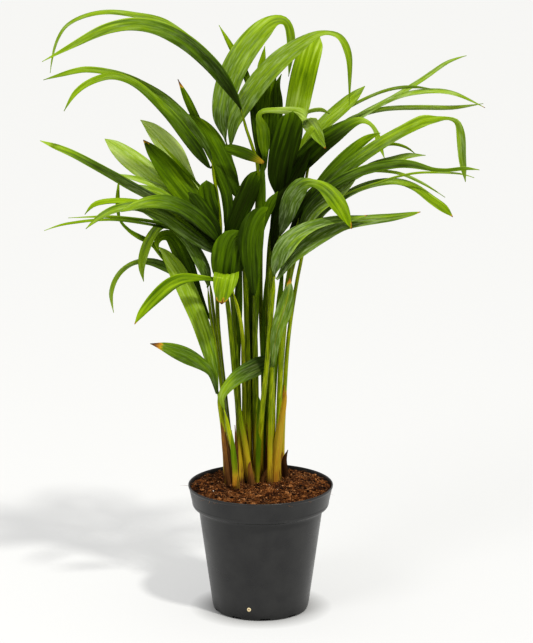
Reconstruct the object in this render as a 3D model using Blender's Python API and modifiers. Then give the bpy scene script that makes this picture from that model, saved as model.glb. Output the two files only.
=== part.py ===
"""A young palm in a plastic nursery pot: the pot, the soil, the leaf stalks and the leaf blades.

Every sub-part is one closed solid. The frame: the origin is the middle of the pot's resting face,
+Z is up, and -Y is the side that faces a viewer. Sizes below are in millimetres, and MM turns them
into metres.
"""

import math

import bmesh
import bpy
from mathutils import Matrix, Vector

MM = 0.001
GAP = 0.3            # between pieces that touch

# The pot.
RIM_RADIUS = 85.0
POT_HEIGHT = 151.0
COLLAR_HEIGHT = 26.0
COLLAR_FOOT_RADIUS = 79.6
WALL_TOP_RADIUS = 72.4
FOOT_RADIUS = 56.4
WALL = 1.6
FOOT_RECESS = 3.6    # the floor's underside stands this far up, round a pad that rests
PAD_RADIUS = 19.0
POT_SEGMENTS = 48
DRAIN_HOLES = 8
DRAIN_HOLE_RADIUS = 5.0
DRAIN_CIRCLE = 36.0
FOOT_NOTCHES = 10
FOOT_NOTCH_TURN = 5.5    # degrees by which the first notch stands right of the front
NOTCH_SIZE = (14.0, 11.0, 2.8)

# The soil.
SOIL_EDGE_HEIGHT = 145.5
SOIL_CROWN_HEIGHT = 149.0
SOIL_FLOOR = 6.3
SOIL_SEGMENTS = 36

# The stalks stand this deep in the soil, and run straight up until they are clear of it.
PLANTED_HEIGHT = 122.0
CLEAR_HEIGHT = 150.0
STALK_SIDES_RESOLUTION = 1
STALK_STEPS = 2

# A blade is BLADE_THICKNESS thick along its midrib and sharp at its edges, and its edges droop.
BLADE_THICKNESS = 1.3
BLADE_BASE_WIDTH = 2.2
EDGE_DROOP = 0.12
BLADE_STEPS = 2

# The leaves are laid out on an upright drawing board through the pot's axis, as somebody sees them
# from EYE. Each point is (across, height, depth): its depth moves it along its own line of sight.
EYE = Vector((7.0, -3500.0, 1186.0))

SHAPES = bpy.data.collections.new("potted_palm")
CUTTERS = bpy.data.collections.new("cutters")


def clear_scene():
    for item in list(bpy.data.objects):
        bpy.data.objects.remove(item, do_unlink=True)
    for collection in (SHAPES, CUTTERS):
        bpy.context.scene.collection.children.link(collection)
    CUTTERS.hide_render = True


def material(name, color, roughness, metallic=0.0):
    made = bpy.data.materials.new(name)
    made.use_nodes = True
    shader = made.node_tree.nodes["Principled BSDF"]
    shader.inputs["Base Color"].default_value = (*color, 1.0)
    shader.inputs["Roughness"].default_value = roughness
    shader.inputs["Metallic"].default_value = metallic
    made.diffuse_color = (*color, 1.0)
    return made


def add_mesh(name, shape, collection, finish=None):
    """Puts a bmesh, in millimetres, into the scene as an object in metres."""
    bmesh.ops.scale(shape, vec=(MM, MM, MM), verts=shape.verts)
    mesh = bpy.data.meshes.new(name)
    shape.to_mesh(mesh)
    shape.free()
    item = bpy.data.objects.new(name, mesh)
    collection.objects.link(item)
    if finish:
        mesh.materials.append(finish)
    return item


def cut(item, cutter, name):
    cutter.hide_render = True
    cutter.display_type = "WIRE"
    boolean = item.modifiers.new(name, "BOOLEAN")
    boolean.operation = "DIFFERENCE"
    boolean.solver = "EXACT"
    boolean.object = cutter


def turned(name, profile, segments, finish):
    """A solid turned round the Z axis from (radius, height) points, from axis to axis."""
    outline = bmesh.new()
    points = [outline.verts.new((radius, 0.0, height)) for radius, height in profile]
    for first, second in zip(points, points[1:]):
        outline.edges.new((first, second))
    item = add_mesh(name, outline, SHAPES, finish)
    screw = item.modifiers.new("turn", "SCREW")
    screw.axis = "Z"
    screw.angle = math.tau
    screw.steps = segments
    screw.render_steps = segments
    screw.use_merge_vertices = True
    screw.merge_threshold = 0.00001
    return item


# ---------------------------------------------------------------- pot


def pot_profile():
    """The pot's section, from the inside of the floor, up the inside, over the rim and down."""
    collar_foot = POT_HEIGHT - COLLAR_HEIGHT
    inside_top = RIM_RADIUS - WALL - 0.4
    return [
        (0.0, 1.8),
        (PAD_RADIUS - 0.6, 1.8),
        (PAD_RADIUS + 1.4, FOOT_RECESS + WALL),
        (FOOT_RADIUS - WALL - 0.6, FOOT_RECESS + WALL),
        (FOOT_RADIUS - WALL + 0.4, 7.0),
        (WALL_TOP_RADIUS - WALL, collar_foot - 5.0),
        (WALL_TOP_RADIUS - 0.8, collar_foot + 0.6),
        (COLLAR_FOOT_RADIUS - WALL - 0.4, collar_foot + 2.2),
        (inside_top, POT_HEIGHT - 1.2),
        (inside_top + 0.6, POT_HEIGHT),
        (RIM_RADIUS - 0.5, POT_HEIGHT),
        (RIM_RADIUS, POT_HEIGHT - 0.6),
        (RIM_RADIUS - 0.2, POT_HEIGHT - 2.6),
        (RIM_RADIUS - 0.9, POT_HEIGHT - 3.2),
        (COLLAR_FOOT_RADIUS + 0.3, collar_foot + 2.4),
        (COLLAR_FOOT_RADIUS - 0.5, collar_foot + 0.6),
        (COLLAR_FOOT_RADIUS - 2.4, collar_foot - 0.6),
        (WALL_TOP_RADIUS + 1.4, collar_foot - 1.6),
        (WALL_TOP_RADIUS + 0.2, collar_foot - 4.0),
        (FOOT_RADIUS + 0.6, 7.0),
        (FOOT_RADIUS - 0.6, 1.8),
        (FOOT_RADIUS - 2.2, 0.0),
        (FOOT_RADIUS - 4.4, 0.0),
        (FOOT_RADIUS - 4.8, FOOT_RECESS),
        (PAD_RADIUS + 0.8, FOOT_RECESS),
        (PAD_RADIUS, 0.0),
        (0.0, 0.0),
    ]


def drain_cutter():
    """Round holes through the floor, and notches under the foot ring that let the water out."""
    shape = bmesh.new()
    for index in range(DRAIN_HOLES):
        angle = math.tau * index / DRAIN_HOLES
        hole = bmesh.ops.create_cone(
            shape, cap_ends=True, segments=12, depth=12.0,
            radius1=DRAIN_HOLE_RADIUS, radius2=DRAIN_HOLE_RADIUS,
        )
        centre = (DRAIN_CIRCLE * math.cos(angle), DRAIN_CIRCLE * math.sin(angle), 5.0)
        bmesh.ops.translate(shape, vec=centre, verts=hole["verts"])
    along, across, height = NOTCH_SIZE
    for index in range(FOOT_NOTCHES):
        angle = math.tau * index / FOOT_NOTCHES + math.radians(FOOT_NOTCH_TURN - 90)
        notch = bmesh.ops.create_cube(shape, size=1.0)["verts"]
        bmesh.ops.scale(shape, vec=(across, along, 2 * height), verts=notch)
        bmesh.ops.translate(shape, vec=(FOOT_RADIUS - 2.5, 0.0, 0.0), verts=notch)
        turned_by = Matrix.Rotation(angle, 3, "Z")
        bmesh.ops.rotate(shape, cent=(0, 0, 0), matrix=turned_by, verts=notch)
    return add_mesh("drain_cutter", shape, CUTTERS)


def build_pot(finish):
    pot = turned("pot", pot_profile(), POT_SEGMENTS, finish)
    cut(pot, drain_cutter(), "drain")
    return pot


# ---------------------------------------------------------------- soil


def pot_inside_radius(height):
    """The radius of the pot's inner face at a height inside the collar or the wall."""
    collar_foot = POT_HEIGHT - COLLAR_HEIGHT
    low, high = (7.0, FOOT_RADIUS - WALL + 0.4), (collar_foot - 5.0, WALL_TOP_RADIUS - WALL)
    if height > collar_foot + 2.2:
        low = (collar_foot + 2.2, COLLAR_FOOT_RADIUS - WALL - 0.4)
        high = (POT_HEIGHT - 1.2, RIM_RADIUS - WALL - 0.4)
    share = (height - low[0]) / (high[0] - low[0])
    return low[1] + share * (high[1] - low[1])


def soil_profile():
    collar_foot = POT_HEIGHT - COLLAR_HEIGHT
    shrink = 2 * GAP
    edge = pot_inside_radius(SOIL_EDGE_HEIGHT) - shrink
    return [
        (0.0, SOIL_CROWN_HEIGHT),
        (0.45 * edge, SOIL_CROWN_HEIGHT - 0.4),
        (0.75 * edge, (SOIL_CROWN_HEIGHT + SOIL_EDGE_HEIGHT) / 2),
        (0.95 * edge, SOIL_EDGE_HEIGHT + 0.4),
        (edge, SOIL_EDGE_HEIGHT - 0.6),
        (pot_inside_radius(collar_foot + 3.2) - shrink, collar_foot + 3.2),
        (WALL_TOP_RADIUS - WALL - shrink, collar_foot + 1.6),
        (WALL_TOP_RADIUS - WALL - shrink - 0.4, collar_foot - 6.0),
        (pot_inside_radius(8.0) - shrink, 8.0),
        (FOOT_RADIUS - WALL - 2.0, SOIL_FLOOR),
        (0.0, SOIL_FLOOR),
    ]


def build_soil(finish, feet):
    soil = turned("soil", soil_profile(), SOIL_SEGMENTS, finish)
    shape = bmesh.new()
    depth = 2 * (SOIL_CROWN_HEIGHT - PLANTED_HEIGHT + GAP)
    for across, back, radius in feet:
        made = bmesh.ops.create_cone(
            shape,
            cap_ends=True,
            segments=8,
            radius1=radius + 0.6,
            radius2=radius + 0.6,
            depth=depth,
        )
        middle = (across, back, PLANTED_HEIGHT - GAP + depth / 2)
        bmesh.ops.translate(shape, vec=middle, verts=made["verts"])
    cut(soil, add_mesh("stalk_holes", shape, CUTTERS), "stalks")
    return soil


# ---------------------------------------------------------------- curves


def on_sight_line(across, height, depth):
    """The point at this depth that stands behind or before (across, height) on the board."""
    on_board = Vector((across, 0.0, height))
    return EYE + (on_board - EYE) * ((depth - EYE.y) / -EYE.y)


def spline(stations, steps):
    """Catmull-Rom through a list of equal-length tuples, with steps samples to each interval."""
    rows = [stations[0], *stations, stations[-1]]
    made = []
    for index in range(1, len(rows) - 2):
        before, start, end, after = rows[index - 1 : index + 3]
        for step in range(steps):
            made.append(between(before, start, end, after, step / steps))
    made.append(tuple(stations[-1]))
    return made


def between(before, start, end, after, share):
    square, cube = share**2, share**3
    return tuple(
        0.5
        * (
            2 * b
            + (c - a) * share
            + (2 * a - 5 * b + 4 * c - d) * square
            + (3 * b - a - 3 * c + d) * cube
        )
        for a, b, c, d in zip(before, start, end, after)
    )


def tangents(points):
    made = []
    for index in range(len(points)):
        first = points[max(index - 1, 0)]
        last = points[min(index + 1, len(points) - 1)]
        made.append((last - first).normalized())
    return made


# ---------------------------------------------------------------- stalks


def stalk_line(foot, thick, stations):
    """(point, radius) rows from the foot in the soil, straight up, then through board points."""
    low = Vector((foot[0], foot[1], PLANTED_HEIGHT))
    clear = Vector((foot[0], foot[1], CLEAR_HEIGHT))
    path = [clear] + [on_sight_line(*station) for station in stations]
    points = [low] + [Vector(row) for row in spline(path, STALK_STEPS)]
    made = []
    for index, point in enumerate(points):
        share = max(index - 1, 0) / (len(points) - 2)
        made.append((point, thick[0] + (thick[1] - thick[0]) * share**0.7))
    return made


def stalk(name, line, finish):
    """A round stalk along a stalk_line."""
    curve = bpy.data.curves.new(name, "CURVE")
    curve.dimensions = "3D"
    curve.bevel_depth = MM
    curve.bevel_resolution = STALK_SIDES_RESOLUTION
    curve.use_fill_caps = True
    spine = curve.splines.new("POLY")
    spine.points.add(len(line) - 1)
    for index, (point, radius) in enumerate(line):
        spine.points[index].co = (*(point * MM), 1.0)
        spine.points[index].radius = radius
    curve.materials.append(finish)
    item = bpy.data.objects.new(name, curve)
    SHAPES.objects.link(item)
    return item


# ---------------------------------------------------------------- blades


def nearest_on(line, point):
    """(index, share) of the place on a stalk's line that is nearest to a point."""
    found = None
    for index in range(1, len(line) - 1):
        start, end = line[index][0], line[index + 1][0]
        step = end - start
        share = min(max((point - start).dot(step) / step.length_squared, 0.0), 1.0)
        distance = (start + step * share - point).length
        if found is None or distance < found[0]:
            found = (distance, index, share)
    return found


def blade_base(line, first):
    """Where a blade starts: just clear of its stalk's surface, a little below its first station."""
    distance, index, share = nearest_on(line, first)
    start, end = line[index][0], line[index + 1][0]
    along = (end - start).normalized()
    radius = line[index + 1][1]
    place = start.lerp(end, share)
    at_top = index == len(line) - 2 and share == 1.0
    if at_top:
        heading = (first - place).normalized()
        return place + heading * (2 * GAP + radius * (1 - max(heading.dot(along), 0.0)))
    place -= along * (0.5 * distance)
    heading = (first - place).normalized()
    outward = max((heading - along * heading.dot(along)).length, 0.3)
    return place + heading * ((radius + BLADE_BASE_WIDTH / 2 + GAP) / outward)


def blade(name, line, stations, turn, finish, across=None):
    """A leaf blade lofted along its midrib, from its stalk's line to a point.

    Each station is (across, height, depth, width). turn is the angle, at the base and at the tip,
    by which the blade's width leaves the drawing board: positive tips the right edge of a rising
    blade towards the viewer. across, if given, fixes the width's direction instead, at both ends.
    """
    real = [(*on_sight_line(*station[:3]), station[3]) for station in stations]
    base = blade_base(line, Vector(real[0][:3]))
    rows = spline([(*base, BLADE_BASE_WIDTH), *real], BLADE_STEPS)
    points = [Vector(row[:3]) for row in rows]
    directions = tangents(points)
    shape = bmesh.new()
    rings = []
    for index in range(len(rows) - 1):
        share = index / (len(rows) - 1)
        width = max(rows[index][3], 1.6)
        side = side_direction(points[index], directions[index], share, turn, across)
        up = directions[index].cross(side).normalized()
        rings.append(blade_ring(shape, points[index], side, up, width))
    tip = shape.verts.new(points[-1])
    close_blade(shape, rings, tip)
    item = add_mesh(name, shape, SHAPES, finish)
    return item


def side_direction(point, along, share, turn, across):
    if across:
        wanted = across[0].lerp(across[1], share)
        return (wanted - along * wanted.dot(along)).normalized()
    sight = (point - EYE).normalized()
    in_board = along.cross(sight).normalized()
    away = in_board.cross(along)
    angle = math.radians(turn[0] + (turn[1] - turn[0]) * share)
    return in_board * math.cos(angle) + away * math.sin(angle)


def blade_ring(shape, middle, side, up, width):
    """Left edge, top of the midrib, right edge, underside of the midrib."""
    thick = min(BLADE_THICKNESS, 0.4 * width)
    edge = up * (EDGE_DROOP * width)
    corners = (
        middle + side * (width / 2) - edge,
        middle + up * (thick / 2),
        middle - side * (width / 2) - edge,
        middle - up * (thick / 2),
    )
    return [shape.verts.new(corner) for corner in corners]


def close_blade(shape, rings, tip):
    for low, high in zip(rings, rings[1:]):
        for index in range(4):
            after = (index + 1) % 4
            shape.faces.new((low[index], low[after], high[after], high[index]))
    for index in range(4):
        shape.faces.new((rings[-1][index], rings[-1][(index + 1) % 4], tip))
    shape.faces.new(rings[0][::-1])
    bmesh.ops.triangulate(shape, faces=shape.faces)
    bmesh.ops.recalc_face_normals(shape, faces=shape.faces)


# ---------------------------------------------------------------- the plant

STALKS = {
    "stalk_low_left": (
        (-40, 14), (3.8, 2.6),
        [(-42, 200, 12), (-46, 235, 8), (-50, 261, 5)],
    ),
    "stalk_front_low": (
        (-28, -18), (3.3, 2.3),
        [(-31, 185, -18), (-38, 220, -17), (-42.5, 241, -15)],
    ),
    "stalk_left_thin": (
        (-36, 24), (3.2, 1.6),
        [(-40, 210, 21), (-45, 265, 19), (-51, 310, 18), (-57, 348, 16), (-61, 388, 13)],
    ),
    "stalk_left_back": (
        (-31, 38), (3.4, 1.8),
        [(-37, 215, 38), (-43, 275, 36), (-49, 340, 34), (-50, 400, 32), (-46, 455, 28),
         (-49, 490, 27), (-53, 516, 26), (-56, 537, 25)],
    ),
    "stalk_left_front": (
        (-11, 6), (3.8, 2.4),
        [(-19, 205, 6), (-26, 245, 4), (-31, 295, 2), (-36, 350, 0), (-40, 384, -2)],
    ),
    "stalk_left": (
        (-23, 8), (4.2, 2.4),
        [(-25, 210, 13), (-26, 260, 14), (-28, 310, 15), (-30, 340, 16), (-35, 400, 13),
         (-41, 443, 9)],
    ),
    "stalk_front_fold": (
        (-17, 21), (3.2, 1.8),
        [(-19, 210, 23), (-19, 260, 23), (-20, 300, 20), (-20.5, 322, 12), (-23, 346, 2),
         (-28, 368, -4), (-32, 382, -8)],
    ),
    "stalk_centre_left": (
        (-13, 33), (4.0, 2.4),
        [(-14, 240, 31), (-15, 310, 30), (-17, 380, 31), (-20, 440, 34), (-26, 492, 34)],
    ),
    "stalk_tall": (
        (-9, 45), (4.2, 2.2),
        [(-9, 230, 46), (-10, 320, 46), (-12, 400, 47), (-17, 460, 50), (-28, 515, 54),
         (-40, 560, 54)],
    ),
    "stalk_top_left": (
        (-5, 36), (4.0, 1.5),
        [(-7, 230, 35), (-7, 320, 34), (-6, 410, 34), (-4, 480, 34), (-3, 526, 32),
         (-8, 548, 29), (-16, 572, 26), (-22, 595, 23)],
    ),
    "stalk_right_front": (
        (0, 22), (3.8, 2.8),
        [(0, 200, 12), (2, 240, -6), (7, 290, -20), (11, 340, -27), (16, 400, -29)],
    ),
    "stalk_centre_back": (
        (6, 41), (4.0, 2.4),
        [(5, 230, 40), (3, 300, 41), (0, 380, 44), (1, 460, 46), (4, 533, 45)],
    ),
    "stalk_centre": (
        (9, 30), (4.0, 2.4),
        [(10, 230, 29), (9, 300, 30), (8, 370, 32), (11, 440, 34), (20, 491, 32)],
    ),
    "stalk_right_fold": (
        (13, 19), (4.0, 2.6),
        [(14, 230, 17), (13, 290, 15), (11, 350, 13), (13, 405, 8), (22, 448, 3)],
    ),
    "stalk_right": (
        (20, 14), (3.8, 2.2),
        [(21, 210, 13), (23, 280, 12), (26, 350, 8), (34, 410, 5), (44, 469, 6)],
    ),
    "stalk_right_back": (
        (25, 42), (3.2, 1.4),
        [(26, 220, 39), (30, 300, 35), (35, 350, 33), (43, 400, 31), (50, 440, 31),
         (51, 490, 42), (54, 525, 52), (63, 543, 60), (84, 563, 70)],
    ),
    "stalk_front_curl": (
        (-7, 26), (3.4, 2.2),
        [(-5, 205, 25), (-5, 270, 20), (-6, 330, 8), (-8, 377, -4)],
    ),
    "stalk_spear": (
        (11, 7), (3.2, 2.2),
        [(11, 200, 2), (12, 250, -12), (14, 292, -24)],
    ),
}

BLADES = {
    "blade_tall_arch": (
        "stalk_tall",
        (14, 28),
        [(-41, 565, 54, 5), (-45, 585, 56, 20), (-42, 610, 60, 28), (-33, 638, 66, 31),
         (-17, 666, 72, 30), (2, 688, 78, 25), (17, 698, 84, 14), (29, 696, 86, 10),
         (34.5, 682, 86, 11), (35, 660, 84, 9), (32, 633, 80, 0)],
    ),
    "blade_tall_right": (
        "stalk_tall",
        (20, 40),
        [(-34, 556, 47, 4), (-31, 580, 45, 16), (-17, 607, 38, 25), (1, 632, 30, 27),
         (21, 653, 22, 25), (42, 669, 14, 19), (60, 680, 8, 11), (75, 683.5, 4, 6),
         (90, 679, 2, 8), (99, 664, 0, 10), (102, 643, 0, 7), (101, 600, 3, 0)],
    ),
    "blade_top_left": (
        "stalk_top_left",
        (-30, -42),
        [(-24, 600, 21, 4), (-33, 618, 18, 14), (-50, 642, 12, 20), (-74, 666, 4, 22),
         (-99, 683, -4, 22), (-124, 692, -12, 20), (-150, 694, -22, 18),
         (-178, 687.5, -32, 15), (-207, 673, -42, 10), (-248, 650, -58, 0)],
    ),
    "blade_top_left_back": (
        "stalk_top_left",
        (-24, -30),
        [(-21, 590, 31, 3), (-27, 612, 34, 4), (-46, 642, 38, 6), (-74, 671, 44, 7),
         (-108, 696, 46, 7), (-140, 703.5, 44, 7), (-172, 707, 40, 6), (-200, 702, 34, 5),
         (-222, 689, 28, 4), (-234, 665, 22, 3), (-239, 637, 18, 0)],
    ),
    "blade_left_upper": (
        "stalk_left_back",
        (-20, -34),
        [(-58.5, 545, 25, 4), (-69, 563, 26, 12), (-87, 587, 28, 13), (-109, 608, 30, 12),
         (-132, 623.5, 32, 9), (-153, 633.5, 33, 8), (-174, 639, 33, 8), (-200, 641.5, 32, 8),
         (-223, 636.5, 30, 6), (-247, 629, 28, 0)],
    ),
    "blade_left_middle": (
        "stalk_left_back",
        (-16, -34),
        [(-59, 529, 19, 4), (-71, 547, 14, 14), (-87, 569, 9, 15), (-104, 590, 4, 13),
         (-129, 615, -4, 10), (-149, 629, -10, 9), (-172, 634, -16, 9),
         (-197, 625.5, -22, 8), (-213, 612, -26, 6), (-224, 593, -30, 0)],
    ),
    "blade_dark_left": (
        "stalk_centre_left",
        (-14, -20),
        [(-28, 497, 35, 7), (-34, 513, 36, 20), (-42, 533, 38, 25), (-53, 555, 40, 26),
         (-64, 572, 42, 21), (-76, 583, 44, 12), (-88, 591, 46, 0)],
    ),
    "blade_dark_centre": (
        "stalk_top_left",
        (-8, -18),
        [(-5, 522, 27, 8), (-10, 511, 26, 20), (-17, 494, 24, 24), (-26, 474, 22, 23),
         (-34, 454, 20, 18), (-41, 432, 18, 0)],
    ),
    "blade_pale_back": (
        "stalk_left_back",
        (-8, -14),
        [(-54, 472, 33, 3), (-66, 490, 38, 6), (-78, 508, 42, 12), (-89, 527, 45, 20),
         (-99, 545, 48, 25), (-113, 562, 52, 22), (-126, 575, 55, 13), (-137, 583, 57, 0)],
    ),
    "blade_broad_left": (
        "stalk_left",
        (-14, -22),
        [(-45.5, 449, 13, 4), (-60, 466, 21, 12), (-75, 487, 26, 24), (-89, 505, 29, 30),
         (-102, 522, 30, 28), (-115, 538, 30, 21), (-126, 551, 30, 12), (-134, 560, 30, 0)],
    ),
    "blade_blunt_left": (
        "stalk_left_back",
        (-8, -8),
        [(-49.5, 465, 23, 3), (-54, 477, 20, 14), (-59, 491, 19, 21), (-61, 503, 18, 20),
         (-62, 509, 17, 12), (-62, 513, 17, 0)],
    ),
    "blade_dark_front": (
        "stalk_left",
        (-10, -16),
        [(-46, 447, 6, 5), (-52, 457, 3, 14), (-61, 470, 0, 20), (-71, 485, -1, 18),
         (-78, 494, -2, 10), (-83, 499, -2, 0)],
    ),
    "blade_pale_left": (
        "stalk_left_back",
        (-10, -18),
        [(-52, 453, 32, 3), (-66, 467, 36, 4), (-84, 485, 39, 6), (-104, 503, 42, 13),
         (-119, 515, 44, 20), (-136, 529, 47, 25), (-153, 542, 50, 23), (-168, 554, 52, 14),
         (-178, 561, 53, 0)],
    ),
    "blade_long_left": (
        "stalk_left",
        (-34, -44),
        [(-44.5, 440, 14, 3), (-62, 458, 12, 6), (-84, 474, 13, 9), (-104, 485, 15, 11),
         (-125, 495, 16, 13), (-147, 507, 16, 14), (-180, 526, 14, 13), (-214, 544.5, 10, 11),
         (-236, 553.5, 8, 8), (-252, 559, 6, 0)],
    ),
    "blade_bright_left": (
        "stalk_left",
        (-26, -34),
        [(-47, 441, 1, 4), (-58, 456, -6, 15), (-73, 471, -13, 21), (-92, 483, -20, 21),
         (-112, 489, -28, 19), (-134, 487, -36, 14), (-150, 481, -42, 8), (-160, 476, -46, 0)],
    ),
    "blade_lower_left": (
        "stalk_left",
        (-26, -34),
        [(-42.5, 424, 7, 3), (-48, 428, 7, 6), (-62, 438, 4, 15), (-80, 451, -4, 19),
         (-100, 466, -12, 19), (-122, 478, -18, 16), (-145, 484, -24, 13), (-170, 479, -30, 10),
         (-187, 469, -34, 7), (-201, 456, -38, 0)],
    ),
    "blade_twisted_left": (
        "stalk_left_thin",
        (-8, -60),
        [(-60.5, 392, 10, 5), (-63, 406, 9, 14), (-71, 424, 8, 17), (-83, 443, 9, 16),
         (-98, 457, 12, 13), (-115, 467, 16, 12), (-136, 476, 20, 0)],
    ),
    "blade_folded_left": (
        "stalk_left_thin",
        (-4, -30),
        [(-60, 352, 20, 3), (-71, 378, 26, 9), (-80, 400, 28, 17), (-88, 421, 29, 21),
         (-96, 439, 30, 20), (-106, 449, 30, 14), (-116, 447, 29, 11), (-120, 439, 27, 7),
         (-117, 430, 26, 0)],
    ),
    "blade_long_pale": (
        "stalk_low_left",
        (-12, -18),
        [(-51.5, 266, 4, 5), (-55, 290, 5, 12), (-61, 318, 8, 18), (-70, 348, 12, 21),
         (-81, 376, 16, 23), (-92, 400, 18, 22), (-102, 417, 19, 17), (-110, 428, 20, 9),
         (-118, 435, 20, 0)],
    ),
    "blade_arching_left": (
        "stalk_left",
        (-20, -30),
        [(-39, 392, 6, 3), (-50, 396, 4, 5), (-62, 398, 0, 6), (-75, 399, -6, 9),
         (-90, 398, -12, 14), (-104, 392, -18, 17), (-118, 380, -26, 17), (-131, 366, -32, 13),
         (-140, 354, -36, 8), (-146, 343, -39, 0)],
    ),
    "blade_hanging_left": (
        "stalk_left_thin",
        (-30, -20),
        [(-60, 340, 24, 3), (-67, 360, 31, 3.5), (-82, 386, 37, 5), (-98, 404, 40, 10),
         (-112, 413, 41, 12), (-128, 418, 42, 9), (-144, 417, 43, 6), (-158, 409, 44, 6),
         (-168, 396, 45, 6), (-173, 378, 46, 5), (-170, 357, 47, 0)],
    ),
    "blade_low": (
        "stalk_low_left",
        (-12, -30),
        [(-50.5, 261, -2, 4), (-57, 283, -8, 7), (-67, 295, -14, 14), (-83, 305, -22, 20),
         (-99, 312, -30, 18), (-114, 317, -38, 10), (-128, 320, -44, 0)],
    ),
    "blade_front_low": (
        "stalk_front_low",
        (30, 14),
        [(-44.5, 247, -17, 5), (-46, 255, -19, 9), (-41, 266, -21, 13), (-28, 280, -22, 18),
         (-13, 289, -18, 22), (1, 296, -11, 21), (11, 301, -7, 12), (16, 304, -4, 0)],
    ),
    "blade_broad_front": (
        "stalk_left_front",
        (-4, -8),
        [(-40, 387.5, -2, 4), (-39, 400, -4, 23), (-37, 418, -6, 31), (-34, 434, -6, 30),
         (-29, 445, -4, 20), (-18, 452, -1, 0)],
    ),
    "blade_front_curl": (
        "stalk_front_curl",
        (-8, -14),
        [(-8, 380, -4, 5), (-9, 403, -7, 14), (-11, 425, -9, 22), (-11, 445, -11, 26),
         (-7, 463, -12, 22), (0, 475, -12, 13), (9, 482, -11, 0)],
    ),
    "blade_round_centre": (
        "stalk_centre",
        (8, 10),
        [(20, 499, 29, 9), (20, 514, 24, 24), (23, 535, 19, 31), (28, 556, 14, 34),
         (33, 574, 10, 31), (36, 585, 7, 21), (37, 593, 6, 0)],
    ),
    "blade_upright_back": (
        "stalk_centre",
        (8, 10),
        [(14, 478, 40, 3), (21, 512, 50, 3.5), (31, 545, 57, 7), (37, 572, 60, 20),
         (40.5, 592, 63, 27), (44, 612, 67, 29), (48, 632, 70, 30), (53, 652, 75, 29),
         (58, 667, 80, 26), (62, 676, 88, 19), (66, 682, 98, 0)],
    ),
    "blade_pleated_back": (
        "stalk_centre_back",
        (4, 6),
        [(5, 528, 51, 4), (3, 560, 52, 16), (3, 590, 56, 27), (6, 620, 59, 24),
         (10, 642, 61, 15), (13, 658, 62, 0)],
    ),
    "blade_right_upper": (
        "stalk_centre",
        (14, 22),
        [(22, 484, 39, 3), (27, 512, 46, 3), (33, 534, 52, 4), (45, 550, 56, 8),
         (62, 569, 60, 14), (80, 587, 63, 17), (98, 603, 66, 16), (110, 614, 69, 10),
         (119, 622, 71, 0)],
    ),
    "blade_dark_right": (
        "stalk_centre",
        (22, 34),
        [(25, 489, 34, 4), (29, 504, 36, 6), (36, 521, 40, 19), (51, 540, 43, 26),
         (67, 556, 45, 27), (84, 568, 47, 23), (100, 578, 49, 16), (114, 583, 50, 9),
         (125, 579, 50, 5), (132, 570, 50, 6), (136, 557, 50, 8), (142, 538, 49, 0)],
    ),
    "blade_far_right": (
        "stalk_right_back",
        (30, 40),
        [(88, 570, 73, 3), (103, 583, 78, 5), (125, 596, 84, 6), (152, 610, 90, 6.5),
         (185, 631, 98, 6.5), (212, 649.5, 104, 5), (234, 657, 108, 0)],
    ),
    "blade_far_right_low": (
        "stalk_right_back",
        (30, 40),
        [(85, 558, 64, 3), (100, 574, 65, 4), (122, 592, 68, 6), (150, 608, 70, 7),
         (175, 615, 70, 7), (202, 617, 68, 7), (226, 612, 65, 5), (256, 597, 60, 0)],
    ),
    "blade_kinked_right": (
        "stalk_right",
        (20, 26),
        [(46, 474, 6, 4), (58, 488, 6, 11), (73, 505, 5, 15), (90, 521, 4, 16),
         (112, 539, 1, 16), (138, 557, -3, 15), (162, 571, -6, 14), (184, 582, -8, 15),
         (200, 584, -9, 8), (214, 585, -10, 4), (225, 580, -10, 7), (229.5, 564, -10, 11),
         (231, 543, -9, 10), (233, 526, -9, 7), (235, 511, -8, 0)],
    ),
    "blade_dark_far_right": (
        "stalk_right",
        (22, 28),
        [(46, 463, -1, 3), (52, 477, -5, 6), (62, 491, -7, 10), (79, 505.5, -11, 12),
         (97, 516.5, -15, 12), (118, 525, -19, 12), (140, 530.5, -21, 12), (160, 533, -23, 11),
         (178, 531, -25, 9), (197, 526, -27, 5), (215, 525, -28, 4.5), (234, 527, -30, 4.5),
         (251, 525, -31, 0)],
    ),
    "blade_fold_right": (
        "stalk_right_fold",
        (18, 12),
        [(24, 453, 1, 6), (29, 471, -1, 19), (35, 490, -5, 24), (46, 506, -11, 20),
         (60, 510, -18, 9), (74, 504, -26, 15), (86, 491, -33, 20), (96, 475, -38, 15),
         (105, 456, -42, 0)],
    ),
    "blade_right_front": (
        "stalk_right_front",
        (8, 58),
        [(16, 405, -31, 5), (19, 418, -32, 17), (27, 436, -33, 25), (41, 451, -33, 22),
         (62, 462, -31, 15), (85, 468, -29, 12), (105, 470, -27, 9), (123, 472, -25, 0)],
    ),
    "blade_right_low": (
        "stalk_right_front",
        (16, 30),
        [(21, 399, -24, 4), (34, 420, -24, 13), (52, 437, -23, 18), (73, 451, -21, 18),
         (96, 462, -19, 15), (122, 467, -17, 13), (150, 470, -15, 10), (174, 474, -13, 5),
         (184, 476, -12, 0)],
    ),
    "blade_spear": (
        "stalk_spear",
        (6, 12),
        [(15, 296, -27, 5), (16, 315, -31, 10), (20, 338, -36, 15), (27, 360, -40, 19),
         (32, 380, -43, 13), (34, 399, -45, 0)],
    ),
}

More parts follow.
